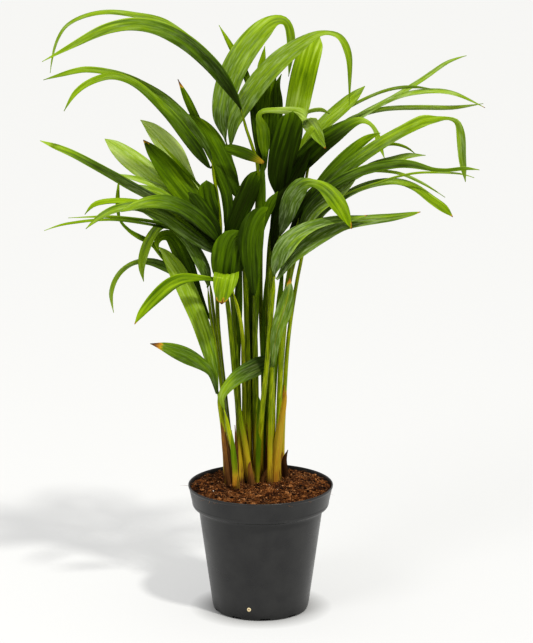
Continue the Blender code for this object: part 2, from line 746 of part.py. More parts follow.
# These two fold over towards the viewer, so the direction of their width is given instead.
LEFTWARD = Vector((-1.0, 0.0, 0.0))
FOLDED_BLADES = {
    "blade_cut_fold": (
        "stalk_front_fold",
        (LEFTWARD, LEFTWARD),
        [(-33, 385, -9, 4), (-36, 395, -10, 18), (-38, 402, -15, 27), (-40, 398, -22, 29),
         (-43, 385, -25, 23), (-45, 371, -26, 11), (-45, 367, -26, 0)],
    ),
    "blade_curled_centre": (
        "stalk_centre_back",
        (LEFTWARD, Vector((-0.6, 0.1, 0.8))),
        [(5, 538, 41, 4), (4, 556, 40, 14), (2, 574, 37, 14), (-2, 586, 33, 7),
         (3, 593, 29, 6), (20, 594, 27, 7), (42, 592, 25, 12), (56, 581, 24, 20),
         (66, 565, 23, 14), (75, 549, 22, 0)],
    ),
}


def build_plant(finishes):
    lines = {name: stalk_line(*given) for name, given in STALKS.items()}
    for name, line in lines.items():
        stalk(name, line, finishes["stalk"])
    for name, (held, turn, stations) in BLADES.items():
        blade(name, lines[held], stations, turn, finishes["leaf"])
    for name, (held, across, stations) in FOLDED_BLADES.items():
        blade(name, lines[held], stations, None, finishes["leaf"], across)


def main():
    clear_scene()
    finishes = {
        "leaf": material("leaf", (0.12, 0.28, 0.02), 0.38),
        "stalk": material("stalk", (0.20, 0.30, 0.03), 0.45),
        "soil": material("soil", (0.10, 0.04, 0.015), 0.95),
        "pot": material("pot", (0.045, 0.045, 0.047), 0.45),
    }
    build_pot(finishes["pot"])
    feet = [(foot[0], foot[1], thick[0]) for foot, thick, _ in STALKS.values()]
    build_soil(finishes["soil"], feet)
    build_plant(finishes)


main()
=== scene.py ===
# %% [markdown]
# # A young palm in a nursery pot
# The plant is about twenty leaf stalks that stand in a pot of coir mix. Each stalk carries a few
# long blades, and every blade is pleated, satin, and a little different in green from the next.
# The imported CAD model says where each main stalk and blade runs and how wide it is. This lesson
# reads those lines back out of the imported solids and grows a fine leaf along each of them, so a
# change in the CAD model moves the leaf with it. The thin leaflets, the thin stalks and the dry
# husks are too fine for the CAD model, so their lines are drawn here.

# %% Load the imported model
import math
import random

import bmesh
import bpy
import numpy as np
from mathutils import Matrix, Vector, noise


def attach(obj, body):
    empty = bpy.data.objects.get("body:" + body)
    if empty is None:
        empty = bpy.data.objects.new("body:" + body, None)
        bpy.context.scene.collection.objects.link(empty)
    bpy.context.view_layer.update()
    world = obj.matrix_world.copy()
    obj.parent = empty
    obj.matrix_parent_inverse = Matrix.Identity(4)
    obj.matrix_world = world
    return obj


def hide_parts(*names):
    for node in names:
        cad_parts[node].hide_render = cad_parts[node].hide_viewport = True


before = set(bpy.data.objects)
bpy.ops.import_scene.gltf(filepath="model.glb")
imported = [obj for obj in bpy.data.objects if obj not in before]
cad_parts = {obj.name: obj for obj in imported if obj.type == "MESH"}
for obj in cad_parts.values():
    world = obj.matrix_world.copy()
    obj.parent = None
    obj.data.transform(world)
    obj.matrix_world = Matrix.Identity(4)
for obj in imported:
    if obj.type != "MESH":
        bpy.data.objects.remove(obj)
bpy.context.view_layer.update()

# %% [markdown]
# ## Camera, light and floor
# A plant in a white studio is lit from everywhere: a pale room, a sun-like lamp high on the right
# that draws the shadows of one leaf on the next, and a broad soft lamp that slides long glints down
# the blades. The floor is one plane that runs past the picture's top edge, so no horizon shows. A
# studio floor is lit on its own until it is nearly white, which a little emission stands for. The
# view's contrast is a step above plain, which gives dark leaves their depth.

# %% Camera
PICTURE = (533, 643)
CAMERA_AT = (0.0069, -3.5, 1.1857)
CAMERA_DOWN = 13.483          # degrees below level
FOCAL_PIXELS = 3106


def add_camera():
    lens = bpy.data.cameras.new("camera")
    lens.sensor_width = 36.0
    lens.lens = FOCAL_PIXELS * lens.sensor_width / max(PICTURE)
    camera = bpy.data.objects.new("camera", lens)
    camera.location = CAMERA_AT
    camera.rotation_euler = (math.radians(90 - CAMERA_DOWN), 0.0, 0.0)
    bpy.context.scene.collection.objects.link(camera)
    bpy.context.scene.camera = camera
    return camera


camera = add_camera()
print("lens:", round(camera.data.lens, 1), "mm")


# %% Lights
def add_light(name, kind, power, place, target, color=(1, 1, 1), **settings):
    lamp = bpy.data.lights.new(name, kind)
    lamp.energy = power
    lamp.color = color
    for key, value in settings.items():
        setattr(lamp, key, value)
    light = bpy.data.objects.new(name, lamp)
    light.location = place
    aim = Vector(target) - Vector(place)
    light.rotation_euler = aim.to_track_quat("-Z", "Y").to_euler()
    bpy.context.scene.collection.objects.link(light)
    return light


def add_room(color, strength):
    room = bpy.data.worlds.new("room")
    room.use_nodes = True
    glow = room.node_tree.nodes["Background"]
    glow.inputs["Color"].default_value = (*color, 1.0)
    glow.inputs["Strength"].default_value = strength
    bpy.context.scene.world = room


add_room((1.0, 1.0, 1.0), 0.52)
add_light("sun", "SUN", 2.2, (0.9, -1.3, 2.6), (0, 0, 0.3), (1, 0.99, 0.95), angle=0.09)
add_light("soft_box", "AREA", 16, (-1.2, -1.4, 1.9), (0, 0, 0.5), size=0.9)
scene = bpy.context.scene
scene.view_settings.view_transform = "Standard"
scene.view_settings.look = "Medium High Contrast"


# %% [markdown]
# ## Materials as short recipes
# Every finish here is a tree of shader nodes. Built by hand, each tree takes dozens of lines that
# say little, so a small class stands between: each call adds one node and gives back its output.

# %% A material recipe
class Recipe:
    """A node material under construction. Each call adds a node and returns its output."""

    def __init__(self, name):
        self.material = bpy.data.materials.new(name)
        self.material.use_nodes = True
        self.tree = self.material.node_tree
        self.shader = self.tree.nodes["Principled BSDF"]
        self.surface = self.tree.nodes["Material Output"].inputs["Surface"]

    def feed(self, socket, value):
        if isinstance(value, bpy.types.NodeSocket):
            self.tree.links.new(value, socket)
        elif isinstance(value, tuple) and socket.type == "RGBA":
            socket.default_value = (*value, 1.0)
        else:
            socket.default_value = value

    def node(self, kind, inputs, out=0, **settings):
        made = self.tree.nodes.new("ShaderNode" + kind)
        for key, value in settings.items():
            setattr(made, key, value)
        for key, value in inputs.items():
            self.feed(made.inputs[key], value)
        return made.outputs[out]

    def attribute(self, name, out="Fac"):
        return self.node("Attribute", {}, out, attribute_name=name)

    def position(self):
        return self.node("NewGeometry", {}, "Position")

    def math(self, operation, first, second=0.0):
        return self.node("Math", {0: first, 1: second}, operation=operation)

    def noise(self, where, scale, detail=3.0, roughness=0.55):
        inputs = {"Vector": where, "Scale": scale, "Detail": detail, "Roughness": roughness}
        return self.node("TexNoise", inputs)

    def stretch(self, where, factors):
        return self.node("VectorMath", {0: where, 1: factors}, operation="MULTIPLY")

    def blend(self, first, second, share, mode="MIX"):
        inputs = {0: share, 6: first, 7: second}
        return self.node("Mix", inputs, 2, data_type="RGBA", blend_type=mode)

    def remap(self, value, low, high, new_low=0.0, new_high=1.0):
        inputs = {0: value, 1: low, 2: high, 3: new_low, 4: new_high}
        return self.node("MapRange", inputs)

    def ramp(self, value, stops):
        made = self.tree.nodes.new("ShaderNodeValToRGB")
        self.feed(made.inputs[0], value)
        keys = made.color_ramp.elements
        while len(keys) < len(stops):
            keys.new(0.5)
        for key, (place, color) in zip(keys, stops):
            key.position = place
            key.color = (*color, 1.0)
        return made.outputs[0]

    def bump(self, height, distance, strength=1.0):
        return self.node("Bump", {"Height": height, "Distance": distance, "Strength": strength})

    def finish(self, **sockets):
        for key, value in sockets.items():
            self.feed(self.shader.inputs[key.replace("_", " ")], value)
        return self.material


# %% Floor
def floor_material():
    """White paint that glows evenly; its glow fades out between 85 and 52 mm off the axis, a painted
    contact shadow round the pot's foot, and stops under the pot.
    """
    paint = Recipe("floor_paint")
    away = paint.node("VectorMath", {0: paint.position()}, 1, operation="LENGTH")
    # the fade of the glow near the pot is a painted contact shadow on the floor
    glow = paint.remap(away, 0.052, 0.085, 0.0, 0.36)
    return paint.finish(
        Base_Color=(0.38, 0.38, 0.377), Roughness=0.9, Specular_IOR_Level=0.0,
        Emission_Color=(1.0, 1.0, 0.99), Emission_Strength=glow,
    )


def add_floor(size):
    mesh = bpy.data.meshes.new("floor")
    mesh.from_pydata(
        [(-size, -size, 0), (size, -size, 0), (size, size, 0), (-size, size, 0)], [], [(0, 1, 2, 3)]
    )
    mesh.materials.append(floor_material())
    floor = bpy.data.objects.new("floor", mesh)
    scene.collection.objects.link(floor)
    return floor


floor = add_floor(30.0)
print("floor:", floor.dimensions[:2])

# %% [markdown]
# ## Reading the plant's lines back
# A packed blade is a lofted solid: rings of four corners (left edge, top of the midrib, right
# edge, underside) from its base to one corner at the tip. A packed stalk is rings of six. Walking
# from the last corner to its neighbours, and from those to theirs, visits the rings in order.


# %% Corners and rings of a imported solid
def corners_of(node):
    """Each corner of a CAD node once, and the corners that it shares an edge with."""
    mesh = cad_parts[node].data
    index = {}
    which = [index.setdefault(tuple(vertex.co), len(index)) for vertex in mesh.vertices]
    links = [set() for _ in index]
    for edge in mesh.edges:
        first, second = (which[end] for end in edge.vertices)
        if first != second:
            links[first].add(second)
            links[second].add(first)
    return np.array(list(index)), links


def rings_from(start, links):
    ring, seen, rings = set(start), set(start), []
    while ring:
        rings.append(sorted(ring))
        ring = {near for corner in ring for near in links[corner]} - seen
        seen |= ring
    return rings


def stalk_line(node):
    """(centres, radii) of a stalk's rings, from its foot up."""
    corners, links = corners_of(node)
    lowest = corners[:, 2].min()
    foot = [i for i, corner in enumerate(corners) if corner[2] < lowest + 1e-4]
    rings = [corners[ring] for ring in rings_from(foot, links)]
    centres = np.array([ring.mean(0) for ring in rings])
    radii = np.array([np.linalg.norm(r - c, axis=1).max() for r, c in zip(rings, centres)])
    return centres, radii


print("a stalk's rings:", len(stalk_line("stalk_tall")[0]))


# %% Midrib, width and facing of a packed blade
def blade_rings(node):
    """The corners of a blade, ring by ring from its base, and its tip."""
    corners, links = corners_of(node)
    for tip in range(len(corners)):
        if len(links[tip]) != 4:
            continue
        rings = rings_from([tip], links)
        if all(len(ring) == 4 for ring in rings[1:]):
            return [corners[ring] for ring in rings[:0:-1]], corners[tip]
    raise ValueError(f"{node} isn't a lofted blade")


def station(ring):
    """A ring's midrib centre, the direction across it, the way its top faces, and its width."""
    pairs = [(i, j) for i in range(4) for j in range(i + 1, 4)]
    ridge = min(pairs, key=lambda pair: np.linalg.norm(ring[pair[0]] - ring[pair[1]]))
    edges = [i for i in range(4) if i not in ridge]
    centre = ring[list(ridge)].mean(0)
    across = ring[edges[0]] - ring[edges[1]]
    up = centre - ring[edges].mean(0)
    width = np.linalg.norm(across)
    return centre, across / width, up / np.linalg.norm(up), width


SUNK = 0.0034                 # a blade starts this far inside its stalk


def blade_line(node):
    """Rows of (centre, up, width) as arrays, from inside the stalk to the tip."""
    rings, tip = blade_rings(node)
    centres, _, ups, widths = (np.array(part) for part in zip(*map(station, rings)))
    back = centres[0] - centres[1]
    sunk = centres[0] + back / np.linalg.norm(back) * SUNK
    centres = np.vstack([sunk, centres, tip])
    ups = np.vstack([ups[0], ups, ups[-1]])
    return centres, ups, np.concatenate([[0.8 * widths[0]], widths, [0.0]])


print("a blade's rings:", len(blade_line("blade_tall_arch")[0]))

# %% [markdown]
# ## Smooth lines
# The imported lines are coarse, so a Catmull-Rom curve runs through their points. It passes through
# every one of them and needs no handles, which suits a leaf that has to stay where the CAD says.


# %% Catmull-Rom through rows of numbers
def smooth_rows(rows, at):
    """Rows read at fractional row numbers, on a Catmull-Rom curve through all of them."""
    rows = np.asarray(rows, float)
    if rows.ndim == 1:
        return smooth_rows(rows[:, None], at)[:, 0]
    last = len(rows) - 1
    start = np.clip(np.floor(at).astype(int), 0, last - 1)
    share = (at - start)[:, None]
    before = rows[np.maximum(start - 1, 0)]
    one, two = rows[start], rows[start + 1]
    after = rows[np.minimum(start + 2, last)]
    return 0.5 * (
        2 * one
        + (two - before) * share
        + (2 * before - 5 * one + 4 * two - after) * share**2
        + (3 * one - before - 3 * two + after) * share**3
    )


def even_steps(points, spacing, least=8):
    """Fractional row numbers about this far apart along a line of points."""
    lengths = length_along(points)
    count = max(least, int(lengths[-1] / spacing))
    return np.interp(np.linspace(0, lengths[-1], count + 1), lengths, np.arange(len(points)))


def unit(rows):
    return rows / np.maximum(np.linalg.norm(rows, axis=-1, keepdims=True), 1e-9)


def length_along(points):
    return np.append(0, np.cumsum(np.linalg.norm(np.diff(points, axis=0), axis=1)))


# %% [markdown]
# ## Drawing further leaves
# A plant like this has more thin leaflets than a CAD model needs. They are drawn on an upright
# board through the pot's middle, as somebody sees them who stands in front, and each point is then
# pushed along its own line of sight to its depth. So its place on the board never changes, however
# deep it stands.

# %% From the drawing board into the room
EYE = np.array([0.007, -3.5, 1.186])


def from_board(across, height, depth):
    """(across, height) on the board in millimetres, seen at this depth, as a point in metres."""
    on_board = np.array([across, 0.0, height]) / 1000
    return EYE + (on_board - EYE) * (depth / 1000 - EYE[1]) / -EYE[1]


def drawn_line(stations, turn):
    """(centres, ups, widths) through (across, height, depth, width) stations.

    turn is how far, in degrees at the base and at the tip, the blade's width leaves the board.
    """
    centres = np.array([from_board(*row[:3]) for row in stations])
    ahead = unit(np.gradient(centres, axis=0))
    flat = unit(np.cross(ahead, centres - EYE))
    away = np.cross(flat, ahead)
    angle = np.radians(np.linspace(turn[0], turn[1], len(stations)))[:, None]
    side = flat * np.cos(angle) + away * np.sin(angle)
    return centres, np.cross(ahead, side), np.array([row[3] for row in stations]) / 1000


print("the board's top:", from_board(0, 700, 0).round(3))

# %% [markdown]
# ## Pieces
# Each piece is a grid of points turned into faces. It rides on the one body, takes a finish, and
# where it stands for a CAD solid it says so, which hides the plain one.


# %% A grid of points becomes a piece
def grid_faces(rows, columns, closed=False):
    wide = columns if closed else columns - 1
    faces = []
    for row in range(rows - 1):
        for column in range(wide):
            after = (column + 1) % columns
            low, high = row * columns, (row + 1) * columns
            faces.append((low + column, low + after, high + after, high + column))
    return faces


def add_piece(name, points, faces, materials, slot, stands_for=(), **attributes):
    mesh = bpy.data.meshes.new(name)
    mesh.from_pydata(np.asarray(points).reshape(-1, 3).tolist(), [], faces)
    for key, values in attributes.items():
        values = np.asarray(values, np.float32)
        kind = "FLOAT_VECTOR" if values.ndim == 2 else "FLOAT"
        layer = mesh.attributes.new(key, kind, "POINT")
        layer.data.foreach_set("vector" if values.ndim == 2 else "value", values.ravel())
    for material in materials:
        mesh.materials.append(material)
    mesh.polygons.foreach_set("use_smooth", [True] * len(mesh.polygons))
    piece = bpy.data.objects.new(name, mesh)
    scene.collection.objects.link(piece)
    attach(piece, "root")
    if stands_for:
        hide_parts(*stands_for)
    return piece


# %% [markdown]
# ## The leaf's finish
# A palm blade is satin, with fine veins that run its whole length, broader bands between its
# pleats, and a paler, duller underside. Old tips dry to brown. Four attributes are painted on the
# points as the blade is made: grain (millimetres across and along, so that a pattern can follow
# the blade), tone (dark old green to pale young green, with painted light and shade in it too),
# dry (green to brown) and bloom, the grey waxy film that shows as pale streaks, which also stand
# for painted gloss glints along the ribs. Light also comes through a leaf, so a Translucent
# shader is mixed in beside the Principled one.

# %% Leaf material
# The tone ramp runs from near black, which is painted shade of the dense middle, to pale young green.
LEAF_GREENS_AND_SHADE = (
    (0.00, (0.003, 0.008, 0.000)),
    (0.25, (0.020, 0.047, 0.000)),
    (0.50, (0.098, 0.185, 0.000)),
    (0.75, (0.300, 0.450, 0.004)),
    (1.00, (0.560, 0.680, 0.200)),
)
DRY_TONES = (
    (0.0, (0.36, 0.42, 0.015)),
    (0.2, (0.56, 0.40, 0.030)),
    (0.4, (0.52, 0.25, 0.030)),
    (0.7, (0.22, 0.10, 0.035)),
    (1.0, (0.055, 0.021, 0.010)),
)
WAX_AND_SHEEN_COLOR = (0.52, 0.64, 0.34)


def leaf_material(name, shift, roughness, through):
    """shift lightens the green; through is how much of the light passes through the leaf."""
    leaf = Recipe(name)
    grain = leaf.attribute("grain", "Vector")
    tone = leaf.attribute("tone")
    dry = leaf.attribute("dry")
    bloom = leaf.attribute("bloom")
    bands = leaf.noise(grain, 0.36, 2.0)
    veins = leaf.noise(grain, 1.9, 2.0, 0.7)
    shade = leaf.remap(bands, 0.28, 0.72, -0.13, 0.13)
    shade = leaf.math("ADD", shade, leaf.remap(veins, 0.3, 0.7, -0.05 + shift, 0.05 + shift))
    green = leaf.ramp(leaf.math("ADD", shade, tone), LEAF_GREENS_AND_SHADE)
    # The pale streaks are the waxy film and painted gloss: they stand for glints that run down the ribs.
    streaks = leaf.noise(leaf.stretch(grain, (0.55, 1.3, 1.0)), 1.0, 3.0, 0.6)
    wax_and_painted_sheen = leaf.math("MULTIPLY", leaf.remap(streaks, 0.46, 0.72, 0.12, 0.95), bloom)
    waxed = leaf.blend(green, WAX_AND_SHEEN_COLOR, wax_and_painted_sheen)
    brown = leaf.ramp(leaf.math("ADD", dry, leaf.remap(veins, 0.3, 0.7, -0.12, 0.12)), DRY_TONES)
    color = leaf.blend(waxed, brown, leaf.remap(dry, 0.03, 0.26))
    normal = leaf.bump(leaf.math("ADD", veins, bands), 0.0004, 0.35)
    leaf.finish(
        Base_Color=color, Roughness=roughness, Specular_IOR_Level=0.2,
        Specular_Tint=(0.95, 1.0, 0.3), Normal=normal,
    )
    lit = leaf.blend(color, (1.0, 1.0, 0.35), 1.0, "MULTIPLY")
    back = leaf.node("BsdfTranslucent", {"Color": lit, "Normal": normal})
    both = leaf.node("MixShader", {0: through, 1: leaf.shader.outputs[0], 2: back})
    leaf.feed(leaf.surface, both)
    return leaf.material


leaf_top = leaf_material("leaf_top", 0.0, 0.26, 0.28)
leaf_under = leaf_material("leaf_under", 0.02, 0.46, 0.28)
print("leaf materials:", leaf_top.name, leaf_under.name)

# %% [markdown]
# ## Growing a blade
# Real blades are pleated like a fan, arch along the midrib and ripple a little at the margins. The
# blade is a sheet: rows along the midrib, columns across it. A folded line across each row makes
# the pleats, which fade out at the narrow base and the tip. Solidify then gives the sheet the
# half millimetre of a real leaf, with the underside in its own finish.

# %% Blade shape
BLADE_THICKNESS = 0.0005
ROW_SPACING = 0.0045
COLUMNS = np.array(
    [-1, -0.96, -0.86, -0.74, -0.62, -0.5, -0.38, -0.26, -0.13, -0.05, 0.05, 0.13]
    + [0.26, 0.38, 0.5, 0.62, 0.74, 0.86, 0.96, 1]
)


def folded(values):
    """A zigzag between -1 and 1, with a period of 1."""
    return 4 * np.abs(values - np.floor(values + 0.5)) - 1


def blade_sheet(line, pleats, depth, droop, ripple, seed):
    """(points, along, half, lift) of a pleated sheet: its points are rows by columns."""
    centres, ups, widths = line
    at = even_steps(centres, ROW_SPACING, 14)
    middle = smooth_rows(centres, at)
    wide = np.maximum(smooth_rows(widths, at), 0.0006)
    up = unit(smooth_rows(ups, at))
    ahead = unit(np.gradient(middle, axis=0))
    up = unit(up - ahead * np.einsum("ij,ij->i", up, ahead)[:, None])
    side = np.cross(up, ahead)
    along = length_along(middle)
    share = along / along[-1]
    u = COLUMNS[None, :]
    fade = np.clip(wide / 0.008, 0, 1)[:, None] * (1 - np.abs(u) ** 6)
    uneven = 1 + 0.5 * np.sin(2.3 * u + seed) + 0.3 * np.sin(5.1 * u - seed)
    crease = folded(u * pleats / 2 + 0.06 * np.sin(3 * u + seed)) * uneven
    crease = crease * depth * wide[:, None] * fade
    crease = crease - 0.035 * wide[:, None] * np.exp(-((u / 0.1) ** 2)) * fade
    hang = -droop * wide[:, None] * np.abs(u) ** 1.25
    wave = np.sin(along[:, None] / 0.013 + seed + 2.1 * np.sign(u))
    wave = wave + 0.6 * np.sin(along[:, None] / 0.0067 + 2 * seed - np.sign(u))
    wave = wave * ripple * wide[:, None] * u**2 * np.sin(np.pi * share)[:, None]
    height = crease + hang + wave
    half = (wide / 2)[:, None] * u
    points = middle[:, None] + side[:, None] * half[..., None] + up[:, None] * height[..., None]
    return points, along, half, side


# %% Blade tone, dryness, bloom and grain
def spread(values, share):
    """A quantity given at even places from base to tip, read at each share of the length."""
    values = np.atleast_1d(np.asarray(values, float))
    return np.interp(share, np.linspace(0, 1, len(values)), values)


def rough_noise(x, y, seed):
    """Smooth noise between -1 and 1 for each pair of x and y."""
    flat = [noise.noise((a, b, seed)) for a, b in zip(np.ravel(x), np.ravel(y))]
    return np.array(flat).reshape(np.shape(x))


def blade_paint(sheet, seed, tones, lean, edge_painted_light, tip, dry, bloom, midline):
    """The attributes of each point. On a blade, the upper half is the left one where it stands; the half
    that faces up is painted lighter or darker by one value, and the outer edge of each half by another:
    painted light and shade.
    """
    points, along, half, side = sheet
    shape = points.shape[:2]
    share = np.broadcast_to((along / along[-1])[:, None], shape)
    u = np.broadcast_to(COLUMNS[None, :], shape)
    upper = u * np.sign(side[:, 2] - 0.5 * side[:, 0])[:, None]
    length = np.broadcast_to(along[:, None], shape)
    rough = rough_noise(length / 0.02, u * 1.3, seed)
    # painted light and shade: the upper half and each outer edge change tone by which way they face
    tone = spread(tones, share) + lean * upper + 0.05 * rough
    tone = tone + edge_painted_light[0] * np.clip((upper - 0.7) * 4, 0, 1)
    tone = tone + edge_painted_light[1] * np.clip((-upper - 0.7) * 4, 0, 1)
    ragged = 0.006 * rough_noise(half / 0.002, length * 0 + seed, seed + 4)
    brown = spread(dry, share) + midline * np.exp(-((u / 0.12) ** 2))
    if tip:
        from_tip = along[-1] - length + ragged
        brown = np.maximum(brown, np.clip(1.25 - from_tip / tip, 0, 1))
    grain = np.stack([half * 1000, length * 1000 / 22, 0 * half + seed * 3.1], -1)
    return {
        "tone": tone.ravel(),
        "dry": brown.ravel(),
        "bloom": spread(bloom, share).ravel(),
        "grain": grain.reshape(-1, 3),
    }


# %% Grow one blade
def grow_blade(
    name, line, tones=(0.45,), pleats=5, depth=0.016, droop=0.12, ripple=0.012, lean=0.0,
    edge_painted_light=(0.0, 0.0), tip=0.0, dry=0.0, bloom=0.03, midline=0.0, breadth=1.0,
    stands_for=(), slot="leaf",
):
    """tones, dry and bloom run from base to tip; bloom is the waxy film with painted gloss streaks, and
    tones hold painted light and shade too. tip is the length that has dried, in metres.
    """
    seed = (sum(map(ord, name)) % 97) / 7
    centres, ups, widths = line
    line = (centres, ups, np.array(widths) * breadth)
    sheet = blade_sheet(line, pleats, depth, droop, ripple, seed)
    paint = blade_paint(sheet, seed, tones, lean, edge_painted_light, tip, dry, bloom, midline)
    points = sheet[0]
    faces = grid_faces(*points.shape[:2])
    piece = add_piece(name, points, faces, [leaf_top, leaf_under], slot, stands_for, **paint)
    shell = piece.modifiers.new("thickness", "SOLIDIFY")
    shell.thickness = BLADE_THICKNESS
    shell.offset = 0.0
    shell.material_offset = 1
    return piece


# %% [markdown]
# ## The blades that the CAD model holds
# Every blade has its own tone from base to tip. It is the leaf's own green and painted light and
# shade together: old outer blades are dark, blades in the dense middle are painted darker still for
# the shade there, blades that face the lamp are painted bright, those that turn their underside to
# it are painted pale and grey, and a dip in a tone is a painted shadow of a blade above.

# %% Blades of the CAD model
LEAFLETS = {
    "tall_arch": dict(tones=(0.3, 0.42, 0.52, 0.58, 0.62, 0.7, 0.58, 0.6, 0.6), bloom=(0.5, 0.5, 0.2, 0.1)),
    "tall_right": dict(tones=(0.38, 0.5, 0.56, 0.62, 0.66, 0.7, 0.6, 0.62, 0.6),
                       bloom=(0.3, 0.5, 0.5, 0.2, 0.1)),
    "top_left": dict(tones=(0.1, 0.2, 0.32, 0.45, 0.56, 0.6, 0.64), edge_painted_light=(0.35, 0.0),
                     bloom=(0, 0.15, 0.25, 0.15)),
    "top_left_back": dict(tones=(0.3, 0.55, 0.62, 0.6, 0.66), bloom=(0.2, 0.4)),
    "left_upper": dict(tones=(0.26, 0.34, 0.46, 0.56, 0.64, 0.6), bloom=(0.1, 0.25, 0.25, 0.1),
                       edge_painted_light=(0.1, -0.15)),
    "left_middle": dict(tones=(0.14, 0.32, 0.48, 0.6, 0.6, 0.62), bloom=(0, 0.1, 0.2, 0.1),
                        edge_painted_light=(0.1, -0.1)),
    "dark_left": dict(tones=(0.22, 0.3, 0.38, 0.42, 0.5, 0.45), lean=0.03),
    # dark_centre and round_centre: their near-black tones are painted shade of the dense middle.
    "dark_centre": dict(tones=(0.4, 0.14, 0.1, 0.14, 0.2), lean=0.0, bloom=0.0),
    "pale_back": dict(tones=(0.5, 0.66, 0.82, 0.9, 0.92, 0.85), bloom=0.75, lean=0.05, edge_painted_light=(0.1, 0.0)),
    "pale_left": dict(tones=(0.3, 0.5, 0.6, 0.74, 0.82, 0.84, 0.8), bloom=0.7, dry=0.0),
    "broad_left": dict(tones=(0.26, 0.36, 0.44, 0.48, 0.46, 0.42, 0.36), pleats=7, tip=0.002, dry=0.0),
    "blunt_left": dict(tones=(0.22, 0.28, 0.34, 0.38), lean=0.08, dry=0.0),
    "dark_front": dict(tones=(0.14, 0.18, 0.24, 0.28)),
    "long_left": dict(tones=(0.5, 0.26, 0.16, 0.2, 0.26, 0.3, 0.62, 0.74), edge_painted_light=(0.3, 0.18),
                      bloom=(0.1, 0.3, 0.1, 0.2)),
    "bright_left": dict(tones=(0.2, 0.26, 0.3, 0.4, 0.6, 0.68), bloom=(0, 0.1, 0.3), edge_painted_light=(0.12, -0.15)),
    "lower_left": dict(tones=(0.2, 0.34, 0.45, 0.52, 0.6, 0.62), edge_painted_light=(0.12, -0.1), bloom=0.25),
    "twisted_left": dict(tones=(0.36, 0.44, 0.46, 0.46), bloom=0.4),
    "folded_left": dict(tones=(0.3, 0.28, 0.3, 0.34, 0.5, 0.66), edge_painted_light=(0.1, -0.05)),
    "long_pale": dict(tones=(0.4, 0.55, 0.66, 0.7, 0.74, 0.76), bloom=(0.2, 0.3, 0.4)),
    "arching_left": dict(tones=(0.3, 0.55, 0.6, 0.58, 0.56, 0.62, 0.66), tip=0.004, edge_painted_light=(0.15, -0.15)),
    "hanging_left": dict(tones=(0.4, 0.36, 0.42, 0.5, 0.64, 0.72), bloom=(0.2, 0.5)),
    "low": dict(tones=(0.3, 0.38, 0.44, 0.42, 0.5, 0.5), tip=0.014, bloom=0.2),
    # front_low: its pale lower part and dark upper part are painted light and shade.
    "front_low": dict(tones=(0.62, 0.7, 0.62, 0.34, 0.22, 0.2), bloom=(0.4, 0.3, 0)),
    "broad_front": dict(tones=(0.2, 0.28, 0.34, 0.36, 0.34, 0.4), lean=0.06, pleats=7, breadth=1.3),
    "front_curl": dict(tones=(0.18, 0.26, 0.3, 0.36, 0.44), lean=-0.04, edge_painted_light=(-0.02, 0.1), breadth=1.15),
    "cut_fold": dict(tones=(0.7, 0.76, 0.72, 0.66, 0.6), tip=0.003, bloom=0.1, lean=-0.03),
    "round_centre": dict(tones=(0.08, 0.1, 0.14, 0.22, 0.3, 0.4), bloom=0.0, lean=0.05),
    "curled_centre": dict(tones=(0.3, 0.5, 0.5, 0.62, 0.8, 0.86, 0.78, 0.84, 0.66, 0.62),
                          bloom=(0.1, 0.1, 0.2, 0.4, 0.6, 0.3), tip=0.002, dry=0.0),
    # upright_back: the dip to 0.58 near the top is a painted shadow band from the blade above.
    "upright_back": dict(tones=(0.3, 0.5, 0.74, 0.76, 0.76, 0.76, 0.58, 0.72, 0.74),
                         bloom=(0, 0.3, 0.4, 0.1, 0, 0.1), depth=0.008, ripple=0.004),
    "pleated_back": dict(tones=(0.3, 0.42, 0.46, 0.5, 0.46, 0.5), depth=0.07, pleats=7, bloom=0.0),
    "right_upper": dict(tones=(0.4, 0.6, 0.66, 0.68, 0.68, 0.62), bloom=0.35, depth=0.03),
    "dark_right": dict(tones=(0.1, 0.1, 0.14, 0.2, 0.26, 0.36, 0.7, 0.7, 0.66),
                       bloom=(0, 0, 0, 0, 0.1, 0.5, 0.1), lean=0.06),
    "far_right": dict(tones=(0.55, 0.62, 0.66, 0.68, 0.66), bloom=(0.9, 0.8, 0.4)),
    "far_right_low": dict(tones=(0.55, 0.6, 0.64, 0.66, 0.66, 0.62), bloom=(0.9, 0.9, 0.7, 0.2), tip=0.003),
    "kinked_right": dict(tones=(0.08, 0.16, 0.3, 0.46, 0.58, 0.64, 0.68, 0.62, 0.6, 0.62),
                         bloom=(0, 0.1, 0.2, 0.3, 0.1, 0.5, 0.2), edge_painted_light=(0.1, 0.0)),
    "dark_far_right": dict(tones=(0.16, 0.2, 0.26, 0.34, 0.36, 0.4, 0.45, 0.6), edge_painted_light=(0.22, 0.1),
                           bloom=0.1),
    "fold_right": dict(tones=(0.12, 0.22, 0.34, 0.46, 0.64, 0.58, 0.6, 0.6),
                       bloom=(0.2, 0.5, 0.5, 0.2, 0.1, 0.0), pleats=7, depth=0.05, tip=0.003),
    "right_front": dict(tones=(0.26, 0.38, 0.5, 0.54, 0.44, 0.48, 0.55), bloom=(0.6, 0.7, 0.5, 0.1),
                        edge_painted_light=(0.0, 0.2), pleats=7, depth=0.03, tip=0.003),
    "right_low": dict(tones=(0.34, 0.44, 0.5, 0.5, 0.5, 0.52, 0.6), bloom=(0.7, 0.8, 0.8, 0.5, 0.1),
                      pleats=9, depth=0.05, tip=0.003),
    "spear": dict(tones=(0.45, 0.52, 0.54, 0.5, 0.5), bloom=0.5, midline=0.12, tip=0.008),
}

blade_nodes = sorted(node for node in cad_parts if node.startswith("blade_"))
for node in blade_nodes:
    title = node.replace("blade_", "")
    grow_blade("leaflet_" + title, blade_line(node), stands_for=(node,), **LEAFLETS.get(title, {}))
print("leaflets:", len(blade_nodes))

# %% [markdown]
# ## The thin leaflets between them
# These are narrow or half hidden, and each hangs on a stalk that the CAD model already has. Every
# row is (across, height, depth, width) in millimetres on the drawing board.

